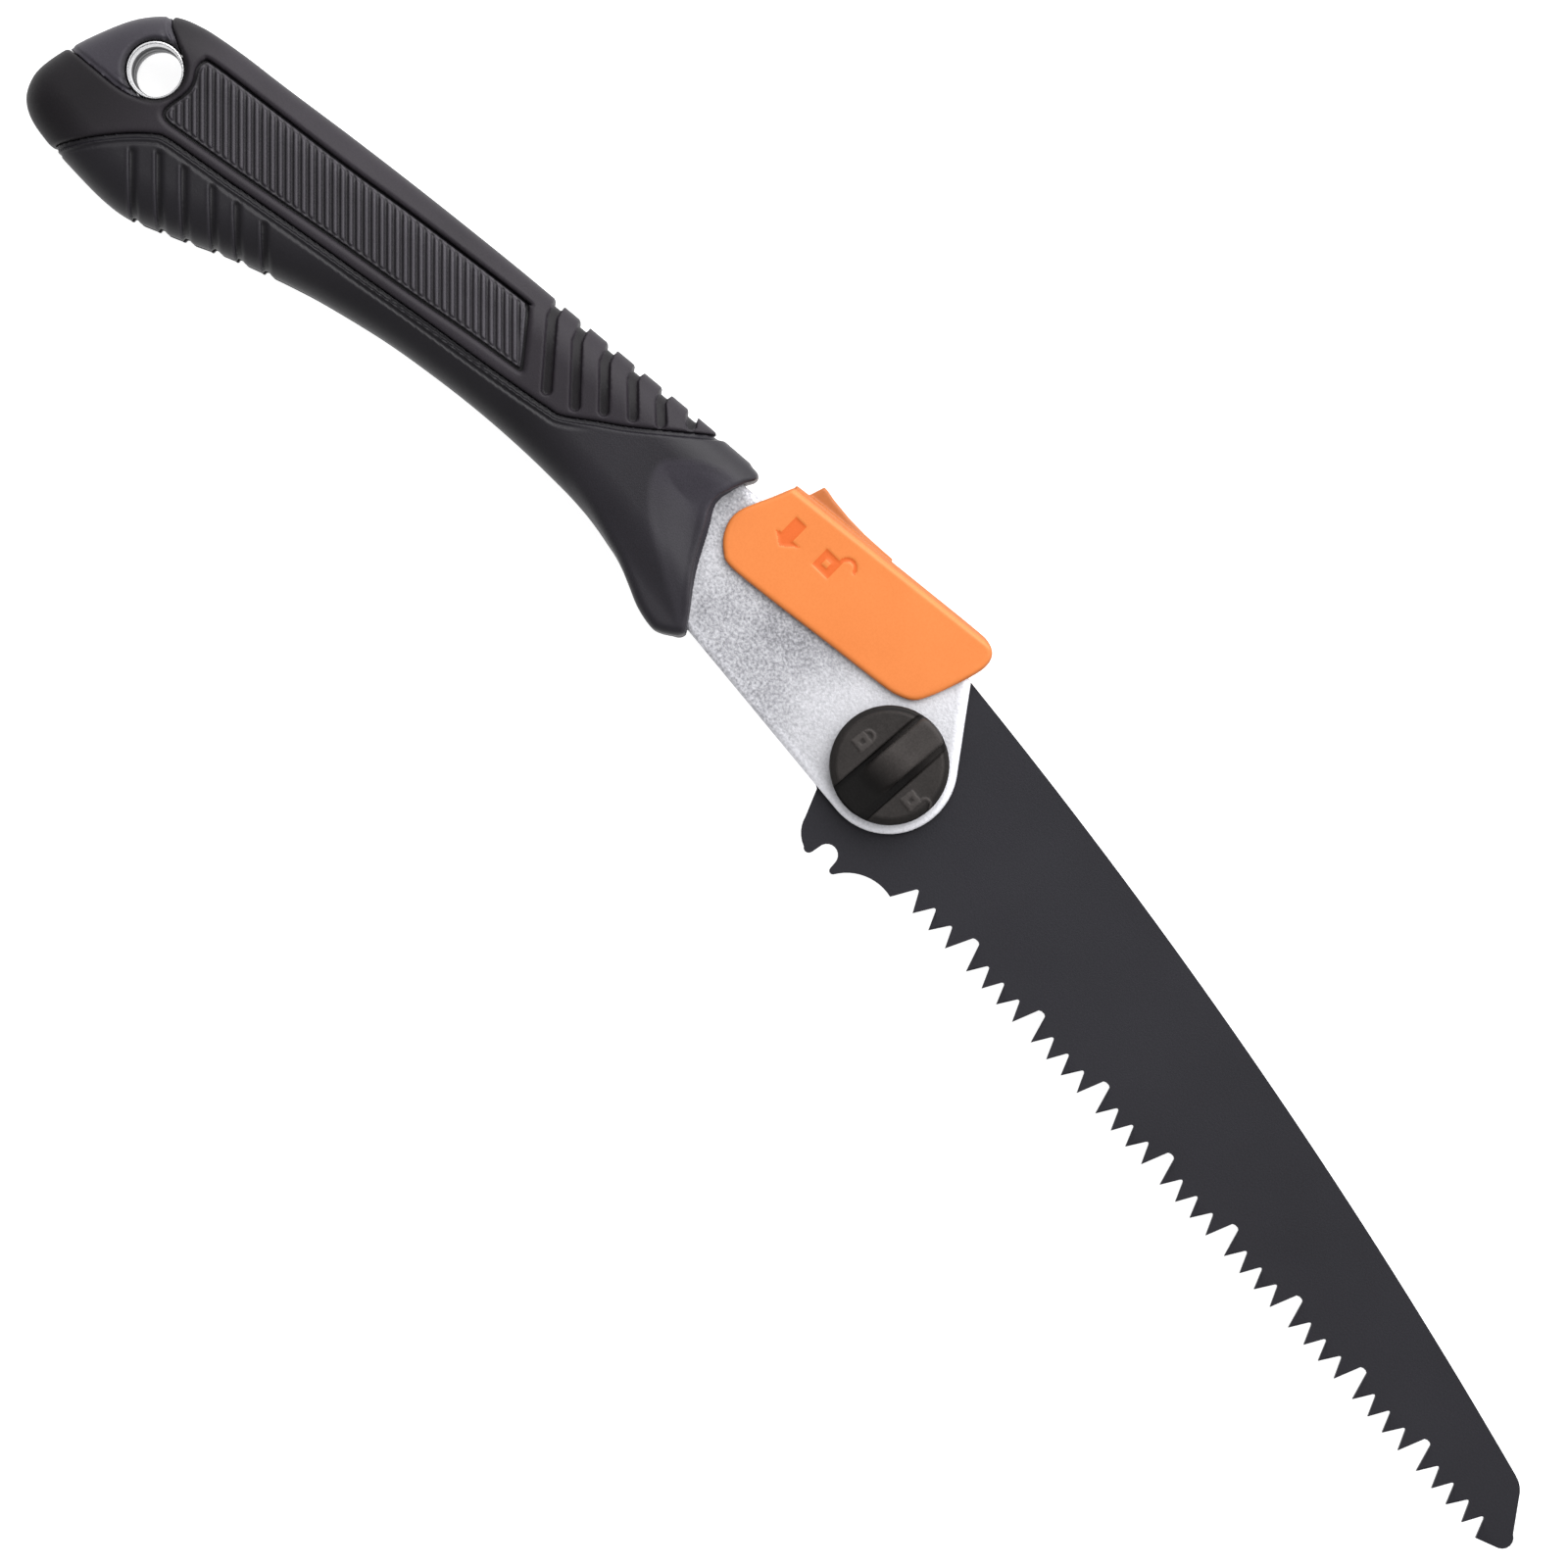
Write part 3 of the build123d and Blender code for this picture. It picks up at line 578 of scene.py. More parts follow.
BRIGHT = material(
    "eyelet_metal", (0.74, 0.74, 0.76), (0.88, 0.88, 0.89), 0.27, metallic=0.75,
    grain=0.8, patch=5, bump=0.03, rough_span=0.04)
# near-black: painted shade for the wall down the eyelet's hole
BORE_SHADE = material(
    "eyelet_bore_shade", (0.018, 0.018, 0.021), (0.075, 0.075, 0.083), 0.42, metallic=0.6,
    grain=0.7, patch=5, bump=0.15)
ACETAL = material(
    "bearing_acetal", (0.62, 0.60, 0.55), (0.72, 0.70, 0.65), 0.4,
    grain=0.5, patch=7, bump=0.1)

CAD_MATERIALS = {"pin_steel": STEEL, "bearing": ACETAL, "frame_steel": STEEL, "blade_steel": COATED,
                 "knob_plastic": KNOB, "lever_orange": ORANGE, "grip_rubber": RUBBER, "core_plastic": BELLY,
                 "panel_rubber": RIBBED, "eyelet_metal": BRIGHT}
for part in frame["record"]["subparts"]:
    node = frame["nodes"][part["node"]]
    node.data.materials.clear()
    node.data.materials.append(CAD_MATERIALS[part["material_slot"]])


# ---- outlines that several pieces use -------------------------------------------------------
def frame_outline():
    """Side plate, anticlockwise."""
    top, low = polar(PLATE_NOSE, 35.9), polar(PLATE_NOSE, 263.9)
    points = arc(low, (PLATE_NOSE, 0.0), top, 48)
    points += [top]
    points += arc((0.0, 26.3), (-34.0, 25.8), (-60.0, 22.7), 12)
    points += [(-60.0, 22.7), (-132.0, 17.0)]
    points += arc((-204.0, 7.0), (-210.0, 1.0), (-204.0, -5.0), 8)
    points += [(-204.0, -5.0), (-132.0, 5.0), (-80.0, 5.5), (-66.0, -8.4)]
    return points


GRIP_AREA = np.concatenate([
    smooth(GRIP_LINE, 3), [(-77.6, 60), (-232.2, 60), (-232.2, 9.2)],
    smooth(INSERT_LINE, 4), [(-243.2, -13.3), (-260, -14), (-260, -60), (-250, -60)],
])


# ---- handle ---------------------------------------------------------------------------------
def handle_body(x, y, z, h):
    """The plain rounded handle with its guard, before grooves and splits."""
    spine = area_distance(x, y, smooth(SPINE, 4))
    across = np.maximum(spine + ROUND_ACROSS, 0)[:, :, None] / ROUND_ACROSS
    deep = np.maximum(z - (HALF - ROUND_DEEP), 0) / ROUND_DEEP
    crown = even(((across ** CROWN + deep ** CROWN) ** (1 / CROWN) - 1) * ROUND_DEEP, h)
    guard = area_distance(x, y, smooth(LIP, 4, closed=True))[:, :, None]
    lip = slab(guard, z, GUARD_HALF, GUARD_EDGE)
    curved = smooth(FRONT_EDGE[1:13], 4).tolist()
    front = area_distance(x, y, curved + FRONT_EDGE[13:] + FRONT_EDGE[:1])[:, :, None]
    return even(soft_max(soft_min(crown, lip, GUARD_BLEND), front, FRONT_EDGE_SOFT), h)


def bell(distance, half_width, depth, wall):
    """A groove's depth by the distance from its middle."""
    return depth * (1 - step(distance, half_width - wall, half_width))


def groove_axes(x, y, line):
    """How far each point lies across a groove's line and along it."""
    (x0, y0), (x1, y1) = line
    length = math.dist(line[0], line[1])
    ex, ey = (x1 - x0) / length, (y1 - y0) / length
    return (x - x0) * -ey + (y - y0) * ex, (x - x0) * ex + (y - y0) * ey


def stepped_groove(x, y, line, depth):
    """A groove with one sharp, slightly raised lip and a long slope opposite."""
    across, along = groove_axes(x, y, line)
    cut = step(across, 0.0, 0.35) * (1 - step(across, 0.9, 2.3))
    lip = step(across, -0.7, -0.3) * (1 - step(across, -0.3, 0.05))
    return (depth * cut - FINGER_LIP * lip) * step(along, 0.0, 1.4)


def grid_cell(points, low, h, shape):
    """The grid cell that each point lies in."""
    return tuple(np.clip(((points - low) / h).round().astype(int), 0, np.array(shape) - 1).T)


def handle_half():
    """Grip and core of the knob side: points, faces and which points nothing can see."""
    low, high = (-246.2, -34.2, -0.9), (-51.5, 28.6, 11.2)
    x, y, z = grid(low, high, HANDLE_STEP)
    body = handle_body(x, y, z, HANDLE_STEP)
    grip = area_distance(x, y, GRIP_AREA)[:, :, None]
    panel = area_distance(x, y, smooth(PANEL, 4, closed=True))[:, :, None]
    eyelet = (np.hypot(x - EYELET[0], y - EYELET[1]) - EYELET_R - EYELET_GAP)[:, :, None]
    slot = np.maximum(area_distance(x, y, SLOT)[:, :, None], z - SLOT_HALF)
    plate = area_distance(x, y, frame_outline())[:, :, None]
    pocket = np.maximum(plate - POCKET_GAP, z - PLATE_OUTER - POCKET_GAP_DEEP)

    # the seam gets shallower at the tail's end, and its second line ends there and at the guard
    tail = step(x, -232, -226)[:, :, None]
    behind_guard = step(-x, 98, 106)[:, :, None]
    seam = bell(np.abs(grip - SEAM_AT), *SEAM) * (0.4 + 0.6 * tail)
    seam += bell(np.abs(grip - SECOND_SEAM_AT), *SECOND_SEAM) * tail * behind_guard
    rim = bell(np.abs(panel), *PANEL_RIM)
    collar = bell(np.abs(eyelet), *COLLAR)
    notches = sum(bell(line_distance(x, y, line), *SPINE_GROOVE) for line in SPINE_GROOVES)
    fingers = sum(stepped_groove(x, y, line, FINGER_DEEP) for line in BELLY_GROOVES)
    facet = -area_distance(x, y, smooth(FACET, 4).tolist())[:, :, None]
    scoop = (0.25 * step(facet, 0, 3.0) + 1.7 * step(facet, 0.5, 11)) * step(z, 3.0, 7.0)
    upper = body + rim + notches[:, :, None] + collar
    lower = body + seam + fingers[:, :, None] + scoop + collar + CORE_INSET
    inner = -(body + SKIN)
    under = np.maximum(grip, inner)
    outer = soft_max(soft_max(upper, grip + GRIP_GAP, 1.0), -panel, 0.9)
    pieces = {
        "grip": common(outer, inner, -eyelet, -slot),
        "core": common(lower, -under, -slot, -pocket, -eyelet),
    }
    found = {}
    for name, field in pieces.items():
        points, faces = field_mesh(np.maximum(field, -z + MID_GAP), low, HANDLE_STEP)
        depth = body[grid_cell(points, low, HANDLE_STEP, body.shape)]
        found[name] = (points, faces, (depth < -HIDDEN_DEPTH) | (points[:, 2] < MID_HIDDEN))
    return found


def rib_wave(x, y):
    """1 on the ribs' tops, 0 between them."""
    across = x * -RIB_ALONG[1] + y * RIB_ALONG[0]
    wave = np.tanh(RIB_SQUARE * np.cos(2 * math.pi * across / RIB_PITCH) + RIB_BIAS)
    return 0.5 + 0.5 * wave / math.tanh(RIB_SQUARE)


def ribbed_panel():
    """The knob side's panel, finer than the rest so that its ribs come out crisp."""
    low, high = (-220.5, -11.5, 5.2), (-118.8, 18.8, 10.6)
    x, y, z = grid(low, high, PANEL_STEP)
    body = handle_body(x, y, z, PANEL_STEP)
    panel = area_distance(x, y, smooth(PANEL, 4, closed=True))[:, :, None]
    ribs = RIB_HEIGHT * rib_wave(x, y)[:, :, None] * step(-panel, 1.0, 1.5)
    height = ribs + 0.3 * step(panel, -1.2, -0.9)
    plate = soft_max(body + PANEL_SUNK - height, panel + PANEL_GAP, 0.5)
    points, faces = field_mesh(common(plate, -(body + SKIN + 0.4)), low, PANEL_STEP)
    return points, faces, body[grid_cell(points, low, PANEL_STEP, body.shape)] < -SKIN


def both_sides(points, faces):
    """The same piece for the knob side and, mirrored, for the far side."""
    back = points * np.array([1, 1, -1])
    return (("front", points, faces), ("back", back, faces[:, ::-1]))


# ---- painted light and shade on each point of a handle piece --------------------------------
def eyelet_shade(x, y):
    """Dark in the gap round the eyelet."""
    apart = np.hypot(x - EYELET[0], y - EYELET[1]) - EYELET_R
    return 1 - 0.6 * (1 - step(apart, 0.5, 1.4))


def grip_painted_shade(x, y, z):
    """Painted shade in the spine's grooves, round the eyelet and towards the tail, where the grip turns
    away from the light.
    """
    floor = np.min([line_distance(x, y, line) for line in SPINE_GROOVES], axis=0)
    # painted shade on the floors of the spine's grooves
    grooves = 1 - 0.62 * (1 - step(floor, 0.7, 1.15)) * step(z, 0.8, 1.4)
    # painted shade where the tail turns away from the light
    return eyelet_shade(x, y) * grooves * (1 - 0.62 * step(-x, 212, 234))


def groove_highlight_and_shade(x, y, line):
    """A belly groove's painted highlight on its lip and painted shade in its foot."""
    across, along = groove_axes(x, y, line)
    lip = np.exp(-((across + 0.25) / 0.3) ** 2)
    foot = np.exp(-((across - 0.75) / 0.45) ** 2)
    return (0.7 * lip - 0.5 * foot) * step(along, 0.0, 1.4)


def core_painted_light(x, y, z):
    """Painted highlights on the tail's insert and in the facet, painted shade along the belly and a painted
    shadow under the facet's arch.
    """
    insert = (area_distance(x, y, GRIP_AREA) > -0.3) & (x < -218) & (y > -14)
    inside = -area_distance(x, y, smooth(FACET, 4))
    # painted light on the facet, which faces the light
    facet = 0.3 * step(inside, -0.4, 1.4) * (1 + 3.2 * step(y, 5, 15))
    # painted shadow under the facet's arch
    arch = 0.5 * step(inside, 0.0, 0.8) * (1 - step(inside, 1.2, 3.5)) * step(y, 16, 20)
    # painted shade where the belly turns away from the light
    belly = 1 - 0.42 * step(-x, 88, 116) + 0.1 * step(-x, 150, 200)
    edges = np.sum([groove_highlight_and_shade(x, y, line) for line in BELLY_GROOVES], axis=0)
    # painted highlight on the tail's insert
    return eyelet_shade(x, y) * np.where(insert, 2.0, belly * (1 + facet - arch + edges))


def panel_rib_shade(x, y, z):
    """Painted shade between the ribs, half as bright."""
    return 0.5 + 0.5 * rib_wave(x, y)


LOOKS = {
    "grip": ("spine_grip", RUBBER, "grip_rubber", grip_painted_shade),
    "core": ("handle_core", BELLY, "core_plastic", core_painted_light),
    "panel": ("grip_panel", RIBBED, "panel_rubber", panel_rib_shade),
}
for kind, (points, faces, hidden) in {**handle_half(), "panel": ribbed_panel()}.items():
    node, look, slot_name, light_and_shade = LOOKS[kind]
    for side, p, f in both_sides(points, faces):
        piece = make(f"{kind}_{side}", p, f, look, "handle", [f"{node}_{side}"])
        # painted light and shade for each point
        paint(piece, light_and_shade(p[:, 0], p[:, 1], np.abs(p[:, 2])))
        thin_out(piece, hidden)

# ---- eyelet ---------------------------------------------------------------------------------
# (radius, height) of a rolled lip flaring into a plain stepped wall
LIP_PROFILE = [
    (EYELET_R, 0.0), (EYELET_R, 8.3), (6.46, 8.65), (6.36, 8.84), (6.2, 8.9), (6.04, 8.76),
    (5.92, 8.3), (5.8, 7.2), (5.66, 5.4), (5.58, 3.0), (EYELET_BORE, 2.7), (EYELET_BORE, 0.25),
    (5.55, 0.0),
]
for side, sign in (("front", 1), ("back", -1)):
    points, faces = turned([(r, sign * z) for r, z in LIP_PROFILE[::sign]], EYELET)
    name, node = f"eyelet_ring_{side}", f"eyelet_{side}"
    ring = make(name, points, faces, BRIGHT, "handle", [node], sharp=40)
    ring.data.materials.append(BORE_SHADE)
    # the wall down the hole takes the near-black material: painted shade
    middles = np.array([np.mean([points[i] for i in f], axis=0) for f in faces])
    wall = np.hypot(*(middles[:, :2] - EYELET).T) < EYELET_WALL[0]
    wall &= np.abs(middles[:, 2]) < EYELET_WALL[1]
    ring.data.polygons.foreach_set("material_index", wall.astype(np.int32))

# ---- frame ----------------------------------------------------------------------------------
outline = []
base = frame_outline()
for a, b in zip(base, base[1:] + base[:1]):
    n = max(1, int(math.dist(a, b) / PLATE_STEP))
    outline += [(a[0] + (b[0] - a[0]) * k / n, a[1] + (b[1] - a[1]) * k / n) for k in range(n)]
# rings from the inner face outwards: how far in from the outline, height, and the painted light and shade,
# brightest as a highlight on the rounded edge
PLATE_RINGS = [
    (0.0, PLATE_INNER, 0.9), (0.0, PLATE_OUTER - 1.1, 1.15), (0.25, PLATE_OUTER - 0.6, 1.4),
    (0.75, PLATE_OUTER - 0.2, 1.45), (1.5, PLATE_OUTER - 0.03, 1.3), (2.6, PLATE_OUTER, 1.0),
]
for side, sign in (("front", 1), ("back", -1)):
    points, faces = stacked([(inset(outline, inwards), z) for inwards, z, _ in PLATE_RINGS])
    if sign < 0:
        points = points * np.array([1, 1, -1])
        faces = [face[::-1] for face in faces]
    name, node = f"side_plate_{side}", f"frame_plate_{side}"
    plate = make(name, points, faces, SILVER, "handle", [node], sharp=45)
    # painted highlight along the plates' rounded edges
    paint(plate, np.repeat([shade for _, _, shade in PLATE_RINGS], len(outline)))


# ---- blade ----------------------------------------------------------------------------------
TOOTH_CURVE = (27.0, 121.0, 215.2), (-20.0, -25.6, -32.1)  # x and y of three points on it
HEEL_TOOTH = (20.8, -20.9)  # where the teeth begin
FIRST_TIPS = [27.0, 32.2, 37.7]
GROUP_AT, GROUP_PITCH, GROUPS = 44.7, 21.5, 8
GROUP_TIPS = (0.0, 5.15, 10.0, 15.3)
LAST_TIP = 215.2
LAST_GAP = 4.0  # no other tip is closer to the last one
ROOT_SHARE = 0.56  # how far along each tooth its root is
GULLET, DEEP_GULLET = (4.4, 0.45), (6.5, 1.0)  # depth, half the floor's width
GROUND = (0.55, 1.9)  # how far back alternate teeth are ground
NOTCH_AT, NOTCH_HALF, NOTCH_R = 112.0, 2.5, (26.6, 24.1)  # the lock's notch in the tang
TANG_R = 17
TIP, TOE = (215.9, -18.9), (220.4, -30.2)


def tooth_line(x):
    """Height of the curved line that the tooth points lie on."""
    return float(np.polyval(np.polyfit(*TOOTH_CURVE, 2), x))


def tooth_points():
    """The toothed edge, tang to tip, and how each of its points is ground back."""
    tips = list(FIRST_TIPS)
    for group in range(GROUPS):
        tips += [GROUP_AT + GROUP_PITCH * group + s for s in GROUP_TIPS]
    tips = [t for t in tips if t < LAST_TIP - LAST_GAP] + [LAST_TIP]
    teeth, ground = [HEEL_TOOTH], [(0.0, 0.0)]
    previous = HEEL_TOOTH[0]
    for number, tip in enumerate(tips):
        deep = number >= 3 and (number - 3) % 4 == 0 and number < len(tips) - 1
        depth, flat = DEEP_GULLET if deep else GULLET
        root = previous + ROOT_SHARE * (tip - previous)
        y = tooth_line(root) + depth
        for dx, dy in ((-flat, -0.25), (-flat * 0.4, 0.0), (flat * 0.5, 0.0), (flat, -0.3)):
            teeth.append((root + dx, y + dy))
            ground.append((0.0, 0.0))
        teeth.append((tip, tooth_line(tip)))
        ground.append(GROUND if number % 2 else (-GROUND[0], -GROUND[1]))
        previous = tip
    return teeth, ground


def blade_rings():
    """Outline of the blade, and of its two faces, where alternate teeth are ground back."""
    teeth, ground = tooth_points()
    up = polar(1, NOTCH_AT)
    mouth = [[(r * up[0] - s * NOTCH_HALF * up[1], r * up[1] + s * NOTCH_HALF * up[0]) for r in NOTCH_R]
             for s in (1, -1)]
    rest = arc((0.0, 26.2), (106.0, 9.55), (212.0, -15.8), 60)
    rest += arc((212.0, -15.8), (214.2, -16.9), TIP, 4) + [TIP]
    rest += arc((220.6, -25.6), (221.9, -28.3), TOE, 6) + [TOE]
    heel = arc(HEEL_TOOTH, (14.4, -21.2), (8.2, -26.2), 12)[1:]
    heel += arc((8.2, -26.2), (7.3, -26.5), (6.7, -25.7), 4) + [(6.7, -25.7)]
    heel += arc((6.6, -24.0), (4.1, -21.6), (1.6, -24.0), 10) + [(1.6, -24.0)]
    heel += arc((1.2, -26.0), (0.2, -26.9), (-1.0, -26.3), 5)
    heel += arc((-1.0, -26.3), (-3.9, -24.2), (-5.4, -21.2), 6) + [(-5.4, -21.2)]
    heel += arc((-7.9, -15.0), polar(TANG_R, 200), polar(TANG_R, 152), 16)
    heel += arc(polar(TANG_R, 152), polar(22.8, 133), polar(26.9, 120), 10)
    heel += [polar(26.9, 120), mouth[0][0]]
    heel += arc(mouth[0][1], polar(21.6, NOTCH_AT), mouth[1][1], 10) + [mouth[1][1], mouth[1][0]]
    middle = rest + teeth[::-1] + heel
    shift = [(0.0, 0.0)] * len(rest) + ground[::-1] + [(0.0, 0.0)] * len(heel)
    faces = []
    for sign in (1, -1):
        cut = [(abs(dx), abs(dy)) if sign * dy > 0 else (0, 0) for dx, dy in shift]
        faces.append([(x + dx, y + dy) for (x, y), (dx, dy) in zip(middle, cut)])
    return middle[::-1], faces[0][::-1], faces[1][::-1]


middle, knob_face, far_face = blade_rings()
edge = BLADE_HALF - BLADE_BEVEL
points, faces = stacked([(far_face, -BLADE_HALF), (middle, -edge), (middle, edge), (knob_face, BLADE_HALF)])
make("saw_blade", points, faces, COATED, "blade", ["blade"], sharp=12)


# ---- lever cover ----------------------------------------------------------------------------
COVER_PADLOCK, PADLOCK_HALF, PADLOCK_OPEN = (-41.4, 22.5), 2.4, 3.9


def cover_flat(x, y):
    return area_distance(x, y, smooth(COVER, 4, closed=True))


def ledge_line(x):
    """Height of the step along the cover's back."""
    return 28.4 + 0.102 * (x + 58)


def roof_line(x):
    """Height of the cover's back over the cavity."""
    return 30.3 + 0.0955 * (x + 57.9)


def cover_icons(x, y):
    padlock = icon_padlock(x, y, COVER_PADLOCK, PADLOCK_HALF, PADLOCK_OPEN)
    return np.minimum(area_distance(x, y, ARROW), padlock)


def lever_cover():
    """A hollow saddle open below, with the ledge along its back, the thumb pad and two sunk signs."""
    low, high = (-65.5, 5.6, -6.6), (1.6, 36.4, 6.6)
    x, y, z = grid(low, high, COVER_STEP)
    shell = slab(cover_flat(x, y)[:, :, None], z, COVER_OUTER, COVER_EDGE)
    ledge = COVER_LEDGE * step((y - ledge_line(x))[:, :, None], 0.0, 1.1)
    shell = soft_max(shell, np.abs(z) - COVER_OUTER + ledge, 0.5)
    thumb = slab(area_distance(x, y, THUMB)[:, :, None], z, THUMB_HALF, THUMB_EDGE)
    cavity = np.maximum(np.abs(z) - COVER_INNER, (y - (roof_line(x) - COVER_ROOF))[:, :, None])
    shell = np.maximum(soft_min(shell, thumb, 0.5), -cavity)
    icons = step(-cover_icons(x, y)[:, :, None], -0.15, 0.25) * step(z, 4, 5)
    return field_mesh(shell + ICON_DEEP * icons, low, COVER_STEP)


def cover_painted_light(x, y, z):
    """A painted highlight along the ledge's crest, painted shade beyond it and round the very edge."""
    beyond = y - ledge_line(x)
    crest = np.exp(-((beyond - 0.2) / 0.45) ** 2)
    band = step(beyond, 0.5, 1.0)
    edge = (1 - step(-cover_flat(x, y), 0.15, 0.8)) * step(y, 20, 26)
    return (1 + 0.06 * crest - 0.10 * band) * (1 - 0.3 * edge)


def icon_padlock(x, y, at, half, open_by=0.0):
    """Plain padlock sign: square body with a keyhole, and a shackle, swung aside if open."""
    square = np.maximum(np.abs(x - at[0]), np.abs(y - at[1]))
    body = np.maximum(square - half, 0.33 * half - square)
    top = at[1] + half + 0.1
    ring = np.abs(np.hypot(x - at[0] - open_by, y - top) - 0.78 * half) - 0.17 * half
    return np.minimum(body, np.maximum(ring, top - y))


points, faces = lever_cover()
cover = make("lever_cover_shell", points, faces, ORANGE, "lever", ["lever_cover"])
cover.data.materials.append(ICON)
centres = np.array([points[q].mean(axis=0) for q in faces])
sunk = (cover_icons(centres[:, 0], centres[:, 1]) < 0.05) & (centres[:, 2] > 5)
cover.data.polygons.foreach_set("material_index", sunk.astype(np.int32))
paint(cover, cover_painted_light(*points.T))


# ---- knob -----------------------------------------------------------------------------------
LOCKED_SIGN, UNLOCKED_SIGN = (-8.0, -0.5), (8.9, -2.3)
SIGN_HALF, SIGN_OPEN, SIGN_TURN = 1.7, 2.7, -7
BAR_LOW = 0.1  # the bar's low end over the trough's floor
BAR_RISE = 3.5
BAR_R = 13.3


def knob():
    """Disc with two raised segments, and a bar that slopes down into the trough between them."""
    low, high = (-14, -14, 4.2), (14, 14, 12.2)
    x, y, z = grid(low, high, KNOB_STEP)
    r = np.hypot(x, y)[:, :, None]
    x3, y3 = x[:, :, None], y[:, :, None]
    disc = np.maximum(soft_max(r - KNOB_R, z - KNOB_DISC_TOP, 1.0), KNOB_BASE - z)
    hub = common(r - KNOB_HUB_R, KNOB_HUB - z, z - 7)
    left = x3 + 4.45 - 0.095 * y3
    right = 5.85 + 0.07 * y3 - x3
    round_edge = r - KNOB_SEGMENT_R
    segments = np.minimum(soft_max(round_edge, left, 0.5), soft_max(round_edge, right, 0.5))
    segments = soft_max(segments, z - KNOB_TOP, 0.5)
    floor = KNOB_FLOOR + 0.8 * step(y3, -1, 8)
    trough = soft_max(soft_max(-left, -right, 0.9), floor - z, 0.6)
    sides = np.maximum(-(x3 + 3.15 - 0.09 * y3), x3 - 3.85 - 0.1 * y3)
    top = z - KNOB_FLOOR - BAR_LOW - BAR_RISE * step(y3, -7.5, 3.5) - 0.03 * y3
    bar = soft_max(soft_max(sides, r - BAR_R, 1.5), top, 1.5)
    body = np.maximum(soft_min(disc, segments, 0.3), -trough)
    body = np.minimum(soft_min(body, np.maximum(bar, KNOB_BASE - z), 0.5), hub)
    signs = step(-knob_signs(x, y)[:, :, None], -0.15, 0.15) * step(z, 8.2, 9)
    return field_mesh(body - SIGN_HIGH * signs, low, KNOB_STEP)


def knob_signs(x, y):
    """The two padlock signs on the knob's segments."""
    locked = turned_about(x, y, LOCKED_SIGN, SIGN_TURN)
    unlocked = turned_about(x, y, UNLOCKED_SIGN, SIGN_TURN)
    return np.minimum(icon_padlock(*locked, LOCKED_SIGN, SIGN_HALF),
                      icon_padlock(*unlocked, UNLOCKED_SIGN, SIGN_HALF, SIGN_OPEN))


def knob_painted_light(x, y, z):
    """Painted shade in the trough and its grooves, and a painted highlight growing up the bar; darker on
    the rim and paler on the signs.
    """
    r = np.hypot(x, y)
    # painted shade in the trough, deepest at its low end
    sunk = 1 - step(z, KNOB_FLOOR + 0.1, 9.1)
    sunk *= (x > -4.6 + 0.095 * y) & (x < 6.0 + 0.07 * y)
    sunk *= 0.55 + 0.35 * step(-y, -4, 4)
    rim = step(r, 11.9, 12.5) * (z < 9.1)
    sign = (knob_signs(x, y) < 0.1) & (z > 9)
    plain = (1 - sunk) * (1 - 0.5 * rim) * (1 + 0.75 * sign)
    bar = (x > -3.3 + 0.09 * y) & (x < 4.0 + 0.1 * y) & (r < 13)
    # painted highlight growing up the bar
    return np.where(bar, 0.15 + 1.6 * step(y, -6.5, 2.5), plain)


def turned_about(x, y, at, degrees):
    """The coordinates as seen by something turned by degrees about a point."""
    c, d = polar(1.0, degrees)
    return at[0] + (x - at[0]) * c + (y - at[1]) * d, at[1] - (x - at[0]) * d + (y - at[1]) * c


points, faces = knob()
piece = make("blade_knob", points, faces, KNOB, "knob", ["knob"])
paint(piece, knob_painted_light(*points.T))

# ---- stage, light and camera ----------------------------------------------------------------
FLOOR_HALF = 6.0
FLOOR_DROP = 0.0002
FLOOR_GLOW = 0.86  # brings the paper up to white
PICTURE_RIGHT = np.array([0.7157, 0.6984, 0.0])
PICTURE_UP = np.array([-0.6984, 0.7157, 0.0])
FIELD, DISTANCE = 0.3518, 1.28
SENSOR = 36.0
centre = PIVOT + np.array([-13.9, -19.4, 0.0]) / 1000

floor_mesh = bpy.data.meshes.new("floor")
corners = [(a * FLOOR_HALF, b * FLOOR_HALF, 0) for a, b in ((-1, -1), (1, -1), (1, 1), (-1, 1))]
floor_mesh.from_pydata(corners, [], [(0, 1, 2, 3)])
floor = bpy.data.objects.new("floor", floor_mesh)
floor.location = (0, 0, CAD_BOX[0][2] - FLOOR_DROP)
bpy.context.scene.collection.objects.link(floor)
paper = material(
    "floor_paper", (0.42, 0.42, 0.425), (0.45, 0.45, 0.455), 0.9, grain=3, patch=400, bump=0.02)
paper_shader = paper.node_tree.nodes["Principled BSDF"]
paper_shader.inputs["Emission Color"].default_value = (1, 1, 1, 1)
paper_shader.inputs["Emission Strength"].default_value = FLOOR_GLOW
floor_mesh.materials.append(paper)


def aim(obj, at, target, up):
    """Turns a camera or lamp at one point towards another."""
    back = np.array(at, float) - np.array(target, float)
    back /= np.linalg.norm(back)
    right = np.cross(np.array(up, float), back)
    right /= np.linalg.norm(right)
    above = np.cross(back, right)
    matrix = np.eye(4)
    matrix[:3, :] = np.column_stack([right, above, back, at])
    obj.matrix_world = Matrix(matrix.tolist())


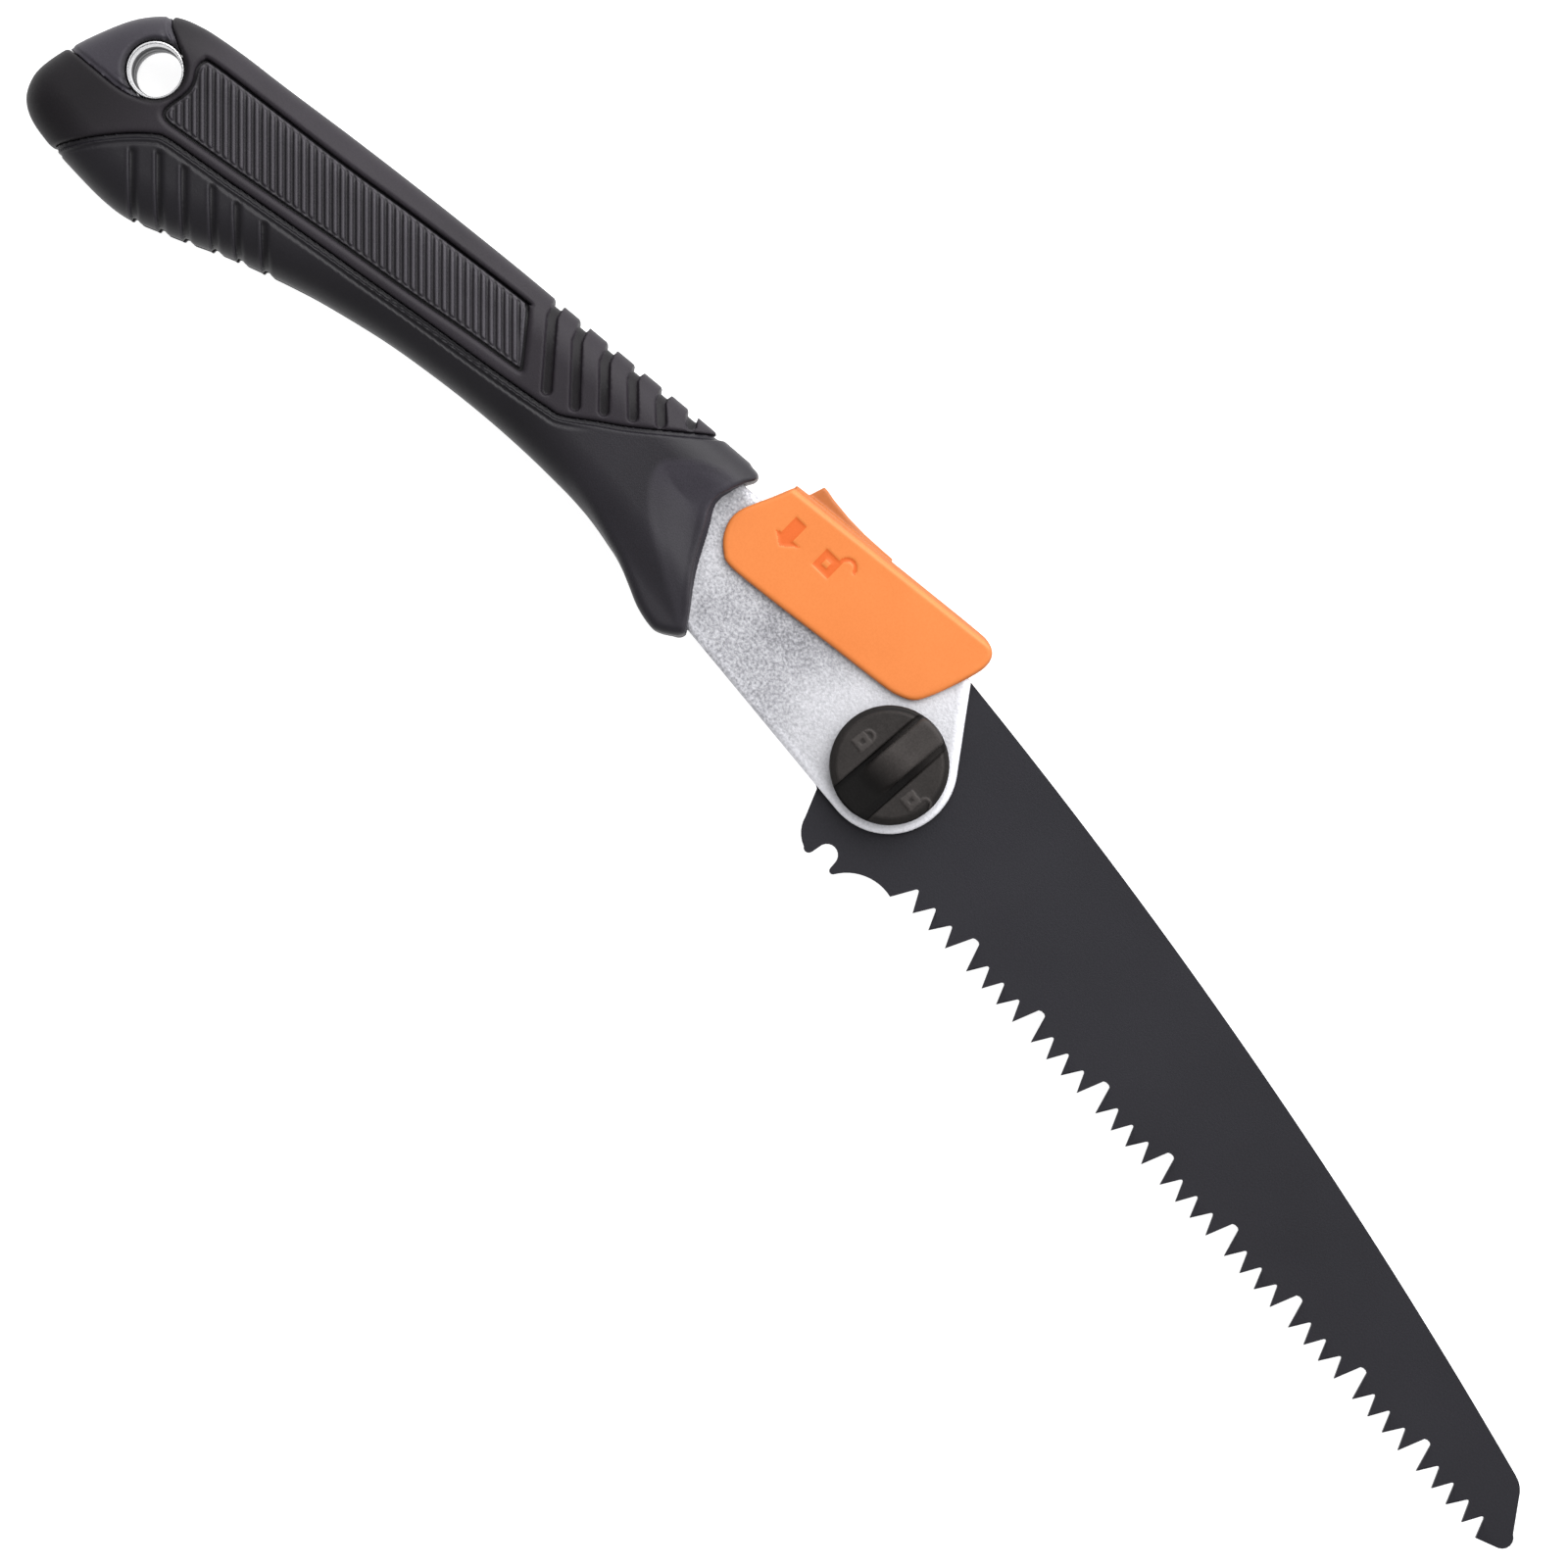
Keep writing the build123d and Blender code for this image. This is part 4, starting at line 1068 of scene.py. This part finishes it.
lens = bpy.data.cameras.new("camera")
lens.sensor_width = SENSOR
lens.lens = SENSOR * DISTANCE / FIELD
camera = bpy.data.objects.new("camera", lens)
bpy.context.scene.collection.objects.link(camera)
aim(camera, centre + np.array([0, 0, DISTANCE]), centre, PICTURE_UP)
bpy.context.scene.camera = camera


def softbox(name, at, width, height, power):
    """A rectangular lamp that faces the saw."""
    lamp = bpy.data.lights.new(name, "AREA")
    lamp.shape = "RECTANGLE"
    lamp.size, lamp.size_y = width, height
    lamp.energy = power
    obj = bpy.data.objects.new(name, lamp)
    bpy.context.scene.collection.objects.link(obj)
    aim(obj, at, centre, PICTURE_UP)


def from_picture(right, up, high):
    """A place by its metres to the picture's right, its top and the camera."""
    return centre + PICTURE_RIGHT * right + PICTURE_UP * up + np.array([0, 0, high])


KEY_AT, KEY_SIZE, KEY_POWER = (0.45, 0.75, 0.85), 1.1, 15
softbox("key", from_picture(*KEY_AT), KEY_SIZE, KEY_SIZE, KEY_POWER)


BRIGHT_SIDE = (0.12, 0.95, -0.25)
DIM, LIT = (-0.35, 0.55), (0.75, 2.4)  # how far towards the bright side, and the strength there


def studio_world():
    """Light all round, brighter from the spine side."""
    world = bpy.data.worlds.new("studio")
    world.use_nodes = True
    nodes, links = world.node_tree.nodes, world.node_tree.links
    direction = nodes.new("ShaderNodeTexCoord").outputs["Generated"]
    side = nodes.new("ShaderNodeVectorMath")
    side.operation = "DOT_PRODUCT"
    side.inputs[1].default_value = BRIGHT_SIDE
    links.new(direction, side.inputs[0])
    strength = nodes.new("ShaderNodeMapRange")
    strength.inputs["From Min"].default_value, strength.inputs["To Min"].default_value = DIM
    strength.inputs["From Max"].default_value, strength.inputs["To Max"].default_value = LIT
    links.new(side.outputs["Value"], strength.inputs["Value"])
    links.new(strength.outputs["Result"], nodes["Background"].inputs["Strength"])
    nodes["Background"].inputs["Color"].default_value = (1, 1, 1, 1)
    bpy.context.scene.world = world


studio_world()
bpy.context.scene.view_settings.view_transform = "Standard"

bpy.context.view_layer.update()
